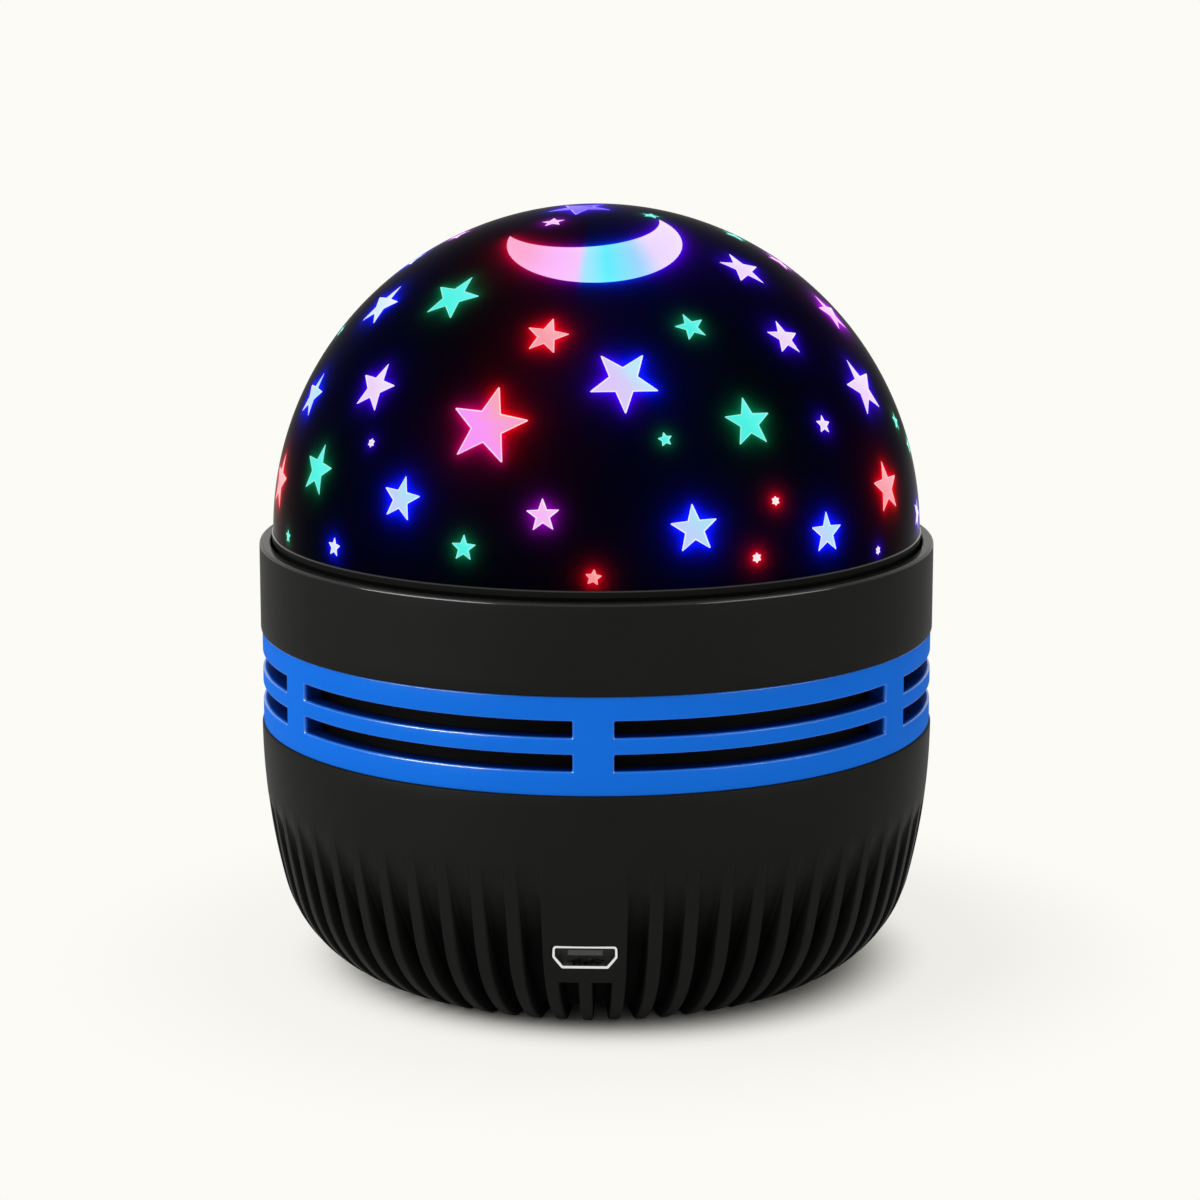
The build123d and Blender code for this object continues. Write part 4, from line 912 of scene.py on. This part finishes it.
dome = as_object("star_dome_skin", dome_mesh())
cut(dome, opening_cutters())
paint_skin_halo(dome.data)
round_normals(dome.data)
gloss = Finish("polished_black_painted_halo", {"Specular IOR Level": 0.0, "Coat Roughness": 0.1,
                                          "Emission Strength": 1.0})
slow = gloss.noise(25 * MM, 2)
facing = gloss.node("ShaderNodeLayerWeight", None, {"Blend": 0.5}, "Facing")
height = gloss.along("Z")
foot_ring = 1 - gloss.over(height, dome_z + FOOT_RING_RISE, 0.02 * MM)
ring_edge = foot_ring * gloss.over(height, dome_z + 0.04 * MM, 0.02 * MM)
crown = gloss.over(height, dome_z + 7 * MM, 7 * MM)
skin_tone = gloss.blend(slow, (0.0004, 0.0004, 0.002), (0.0006, 0.0005, 0.003))
rim_shine = facing.math("POWER", facing, 5) * (0.38 - crown * 0.23)
# Painted halo: the skin emits the glow painted round its openings; the foot ring emits none.
gloss.feed(gloss.shader, {
    "Base Color": gloss.blend(foot_ring, skin_tone, srgb(29, 29, 29)),
    "Roughness": slow * 0.06 + 0.08 + foot_ring * 0.4,
    "Coat Weight": rim_shine + 0.001 + ring_edge * 0.8,
    "Emission Color": gloss.blend(foot_ring, gloss.painted("painted_halo_glow"), (0, 0, 0))})
fit(dome, "dome", gloss, "dome_skin")


# ---- Star windows ----
# The clear liner inside the skin, whose windows fill the openings flush with the dome. Each window
# glows in a pastel tone, with a painted highlight along its outline where the opening's wall
# catches the light.

WINDOW_SINK = 0.02 * MM
OUTLINE_W = 0.14 * MM
# how white a window's outline is, by its glow: its painted highlight
PAINTED_OUTLINE_HIGHLIGHT = {"red": 0.4, "rose": 0.7, "coral": 0.1, "green": 0.25, "indigo": 0.6}
LINER_T = 1.0 * MM


def window_block(bm):
    """Insets a window's outline, refines its middle, lifts it onto the sphere and thickens it."""
    rim = bmesh.ops.inset_individual(bm, faces=bm.faces[:], thickness=OUTLINE_W,
                                     use_even_offset=True)
    for f in rim["faces"]:
        f.material_index = 1
    middle = [f for f in bm.faces if f.material_index == 0]
    bmesh.ops.triangulate(bm, faces=middle)
    inner = [e for e in bm.edges if all(f.material_index == 0 for f in e.link_faces)
             and e.calc_length() > 0.5 * MM]
    bmesh.ops.subdivide_edges(bm, edges=inner, cuts=2, use_grid_fill=True)
    bmesh.ops.triangulate(bm, faces=[f for f in bm.faces if len(f.verts) > 4])
    for v in bm.verts:
        v.co.z = sqrt((dome_r - WINDOW_SINK)**2 - v.co.x**2 - v.co.y**2)
    pushed(bm, bm.faces[:], (0, 0, -SKIN_T))


def tinted(bm, tone_at):
    """Stores a window's glow at the corners of its faces."""
    layer = bm.loops.layers.float_color.new("glow")
    for f in bm.faces:
        for loop in f.loops:
            loop[layer] = (*tone_at(loop.vert.co, f.material_index == 1), 1)
    return bm


def star_window(tip_r, turn, glow):
    """A star in two tones, with a painted highlight on its outline."""
    bm = bmesh.new()
    star_face(bm, tip_r, turn, 0)
    window_block(bm)
    first, second = (Vector(srgb(*tone)) for tone in GLOWS[glow][:2])

    def tone_at(at, outline):
        tone = first.lerp(second, float(tone_share(at.x, at.y, tip_r * MM)))
        # The outline's painted highlight: its tone mixed towards white.
        return tone.lerp(Vector((1, 0.98, 1)), PAINTED_OUTLINE_HIGHLIGHT.get(glow, 0.9)) if outline else tone

    return tinted(bm, tone_at)


def moon_window(half_turn):
    bm = bmesh.new()
    turned = on_dome(half_turn, MOON_FRAME).to_3x3()
    local = [turned.transposed() @ p for p in moon_points(half_turn)]
    bm.faces.new([bm.verts.new((p.x, p.y, 0)) for p in local])
    window_block(bm)

    def tone_at(at, outline):
        x, y, _ = np.array(turned) @ np.array(at)
        azimuth = np.degrees(atan2(x, -y)) - half_turn
        return moon_tone(azimuth, 3 if outline else 1)

    return tinted(bm, tone_at)


def windows():
    bm = bmesh.new()
    bm.loops.layers.float_color.new("glow")
    panes = [(star_window(*s[2:]), s[:2]) for s in all_stars()]
    panes += [(moon_window(half_turn), (half_turn, MOON_FRAME)) for half_turn in MOONS]
    for pane, middle in panes:
        pane.transform(on_dome(*middle))
        add(bm, pane)
    outer = arc((0, dome_z), dome_r - SKIN_T, pi / 2, 0, 24)
    skirt = [(dome_r - SKIN_T, dome_low.z), (dome_r - SKIN_T - LINER_T, dome_low.z)]
    inner = arc((0, dome_z), dome_r - SKIN_T - LINER_T, 0, pi / 2, 24)
    add(bm, wheel(outer + skirt + inner, 96, ring=False))
    for f in bm.faces:
        f.material_index = 0
    return bm


lit = Finish("lit_clear_windows", {"Base Color": (0.01, 0.01, 0.012, 1), "Roughness": 0.25,
                                   "Specular IOR Level": 0.03, "Emission Strength": 1.0})
cloud = lit.blend(lit.noise(4 * MM, 2), (0.93, 0.9, 0.96), (1, 1, 1))
tone = lit.blend(1.0, lit.painted("glow"), cloud, "MULTIPLY")
lit.feed(lit.shader, {"Emission Color": tone})
glass = as_object("star_and_crescent_windows", windows())
fit(glass, "dome", lit, "star_windows")


# ---- Works inside ----
# Turntable, lamp column, gear motor, boards and their screws, as they are in the frame. They are
# hidden while the housing is closed, and each has the finish of its own material.

white_plastic = moulded("white_moulded_plastic", (0.74, 0.74, 0.72), (0.82, 0.82, 0.8), 0.5)
slide_plastic = moulded("waxy_bearing_plastic", (0.8, 0.78, 0.7), (0.87, 0.85, 0.78), 0.35)
black_parts = moulded("matt_black_moulding", srgb(22, 22, 22), srgb(34, 34, 34), 0.65)
tongue_plastic = moulded("grey_socket_tongue", srgb(84, 84, 84), srgb(98, 98, 98), 0.6)
rubber = moulded("matt_black_rubber", srgb(26, 26, 26), srgb(38, 38, 38), 0.85, depth=0.02 * MM)
wire_cover = moulded("red_wire_cover", srgb(170, 20, 20), srgb(195, 30, 28), 0.5)
blue_sleeve = moulded("capacitor_sleeve", srgb(20, 30, 90), srgb(28, 40, 110), 0.3)


def drawn_metal(name, dark, light, roughness):
    """Plated or drawn metal with fine marks along it."""
    finish = Finish(name, {"Metallic": 1.0})
    marks = finish.noise(0.4 * MM, 3)
    finish.feed(finish.shader, {"Base Color": finish.blend(marks, dark, light),
                                "Roughness": marks * 0.2 + roughness})
    finish.bump(marks, 0.004 * MM)
    return finish


steel = drawn_metal("zinc_plated_steel", (0.55, 0.56, 0.57), (0.68, 0.69, 0.7), 0.25)
brass = drawn_metal("bright_brass", (0.68, 0.48, 0.2), (0.8, 0.6, 0.28), 0.2)
dark_contacts = drawn_metal("dull_plated_contacts", (0.05, 0.045, 0.03), (0.08, 0.07, 0.05), 0.5)


def solder_mask(name, dark, light):
    """Printed board: gloss lacquer with faint tracks under it."""
    finish = Finish(name, {"IOR": 1.5, "Roughness": 0.3})
    tracks = finish.node("ShaderNodeTexVoronoi", {"distance": "MANHATTAN"},
                         {"Vector": finish.place(), "Scale": 350.0}, "Distance")
    finish.feed(finish.shader, {"Base Color": finish.blend(tracks, dark, light)})
    finish.bump(tracks, 0.02 * MM)
    return finish


green_board = solder_mask("green_solder_mask", (0.01, 0.12, 0.04), (0.03, 0.24, 0.09))
white_board = solder_mask("white_solder_mask", (0.7, 0.7, 0.7), (0.85, 0.85, 0.85))


def lit_chip(name, colour):
    finish = Finish(name, {"Roughness": 0.3, "Emission Strength": 1.0})
    glow = finish.blend(finish.noise(0.6 * MM), tuple(0.8 * c for c in colour), colour)
    finish.feed(finish.shader, {"Base Color": glow, "Emission Color": glow})
    return finish


clear = Finish("clear_lens_plastic", {"Transmission Weight": 1.0, "IOR": 1.49})
clear.feed(clear.shader, {"Roughness": clear.noise(2 * MM) * 0.05 + 0.03})

finishes = {
    white_plastic: "turntable deck lamp_column motor_cap motor_bracket",
    slide_plastic: "hub_bush thrust_washer pinion",
    black_parts: "control_chip resistors mode_switch switch_plunger",
    tongue_plastic: "socket_insulator",
    dark_contacts: "socket_contacts",
    charcoal: "bottom_cover",
    rubber: "rubber_feet",
    wire_cover: "led_wires motor_wires",
    blue_sleeve: "filter_capacitor",
    steel: "motor_can output_shaft retaining_clip cover_screws board_screws deck_screws"
           " column_screws bracket_screws lamp_screws",
    brass: "gearbox motor_terminals",
    green_board: "main_board",
    white_board: "lamp_board",
    lit_chip("red_led_lens", (0.9, 0.06, 0.05)): "red_led",
    lit_chip("green_led_lens", (0.05, 0.85, 0.15)): "green_led",
    lit_chip("blue_led_lens", (0.05, 0.15, 0.95)): "blue_led",
    lit_chip("white_led_lens", (0.9, 0.9, 0.85)): "white_led",
    clear: "lens_cap",
}
for finish, names in finishes.items():
    for name in names.split():
        dress(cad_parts[name], finish)


# ---- Table, light and camera ----
# A plain pale table that runs to the horizon, even soft light from all round and one soft lamp from
# the upper left, which lays the object's shadow to the right.

PALE = srgb(252, 251, 246)
AMBIENT = 0.615
SHADOW_LEFT = 0.21  # share of a shadow's depth that the open table shows
CONTACT_R, OPEN_R = 27.5 * MM, 39.5 * MM  # the whole shadow is kept close round the object
SHADOW_PLACE = (1.5 * MM, 0, 0)
FADE_R, CLEAR_R = 40 * MM, 75 * MM  # what is left of it fades out between these


def seen(finish):
    """1 for camera, glossy and transmission rays, 0 for the light that falls on the object."""
    camera, glossy, through = (finish.node("ShaderNodeLightPath", output=f"Is {kind} Ray")
                               for kind in ("Camera", "Glossy", "Transmission"))
    return camera.math("MAXIMUM", camera.math("MAXIMUM", camera, glossy), through)


ground = bmesh.new()
bmesh.ops.create_grid(ground, x_segments=1, y_segments=1, size=40)
table = as_object("table", ground)
cloth = Finish("pale_table", {"Base Color": (*PALE, 1), "Roughness": 1.0,
                              "Specular IOR Level": 0.0})
away = cloth.node("ShaderNodeVectorMath", {"operation": "DISTANCE"},
                  {0: cloth.place(), 1: SHADOW_PLACE}, "Value")
without = (cloth.rise(away, CONTACT_R, OPEN_R) * (1 - SHADOW_LEFT)
           + cloth.rise(away, FADE_R, CLEAR_R) * SHADOW_LEFT)
plain = cloth.node("ShaderNodeEmission", None, {"Color": (*PALE, 1)})
both = cloth.node("ShaderNodeMixShader", None,
                  {0: seen(cloth) * without, 1: Value(cloth, cloth.shader.outputs[0]), 2: plain})
cloth.feed(cloth.tree.nodes["Material Output"], {"Surface": both})
dress(table, cloth)

room = Finish("room", {"Color": (*PALE, 1)}, bpy.data.worlds, "Background")
room.feed(room.shader, {"Strength": seen(room) * (1 - AMBIENT) + AMBIENT})
bpy.context.scene.world = room.material


def aimed(name, data, away):
    """Lamp or camera that faces against a direction."""
    made = bpy.data.objects.new(name, data)
    made.rotation_mode = "QUATERNION"
    made.rotation_quaternion = away.to_track_quat("Z", "Y")
    bpy.context.scene.collection.objects.link(made)
    return made


def sun(name, azimuth, elevation, strength, spread):
    """Distant soft lamp in that direction."""
    light = bpy.data.lights.new(name, "SUN")
    light.energy, light.angle = strength, radians(spread)
    return aimed(name, light, direction(azimuth, elevation))


def shine(name, azimuth, elevation, strength, spread, *pieces):
    """Lamp that only shows as a shine on the given pieces."""
    lamp = sun(name, azimuth, elevation, strength, spread)
    lamp.visible_diffuse = False
    shining = bpy.data.collections.new(name)
    for piece in pieces:
        shining.objects.link(piece)
    lamp.light_linking.receiver_collection = shining


sun("key_lamp", -70, 50, 1.25, 45).visible_glossy = False
shine("edge_lamp", -74, 52, 6, 26, band)
shine("left_sheen", -58, 12, 10, 50, base, collar, band)
shine("right_sheen", 62, 12, 5, 50, base, collar, band)

CAMERA_LENS = 112.08
CAMERA_DISTANCE = 446.6 * MM
CAMERA_AZIMUTH = 1.95
CAMERA_ELEVATION = 11.85
AIM_Z = 43.4 * MM
AIM_ASIDE = 0.42 * MM
aside = radians(CAMERA_AZIMUTH)
aim = Vector((AIM_ASIDE * cos(aside), AIM_ASIDE * sin(aside), AIM_Z))
away = direction(CAMERA_AZIMUTH, CAMERA_ELEVATION)
lens = bpy.data.cameras.new("camera")
lens.lens, lens.sensor_width = CAMERA_LENS, 36
lens.clip_start, lens.clip_end = 0.01, 200
camera = aimed("camera", lens, away)
camera.location = aim + away * CAMERA_DISTANCE
bpy.context.scene.camera = camera
bpy.context.scene.view_settings.view_transform = "Standard"
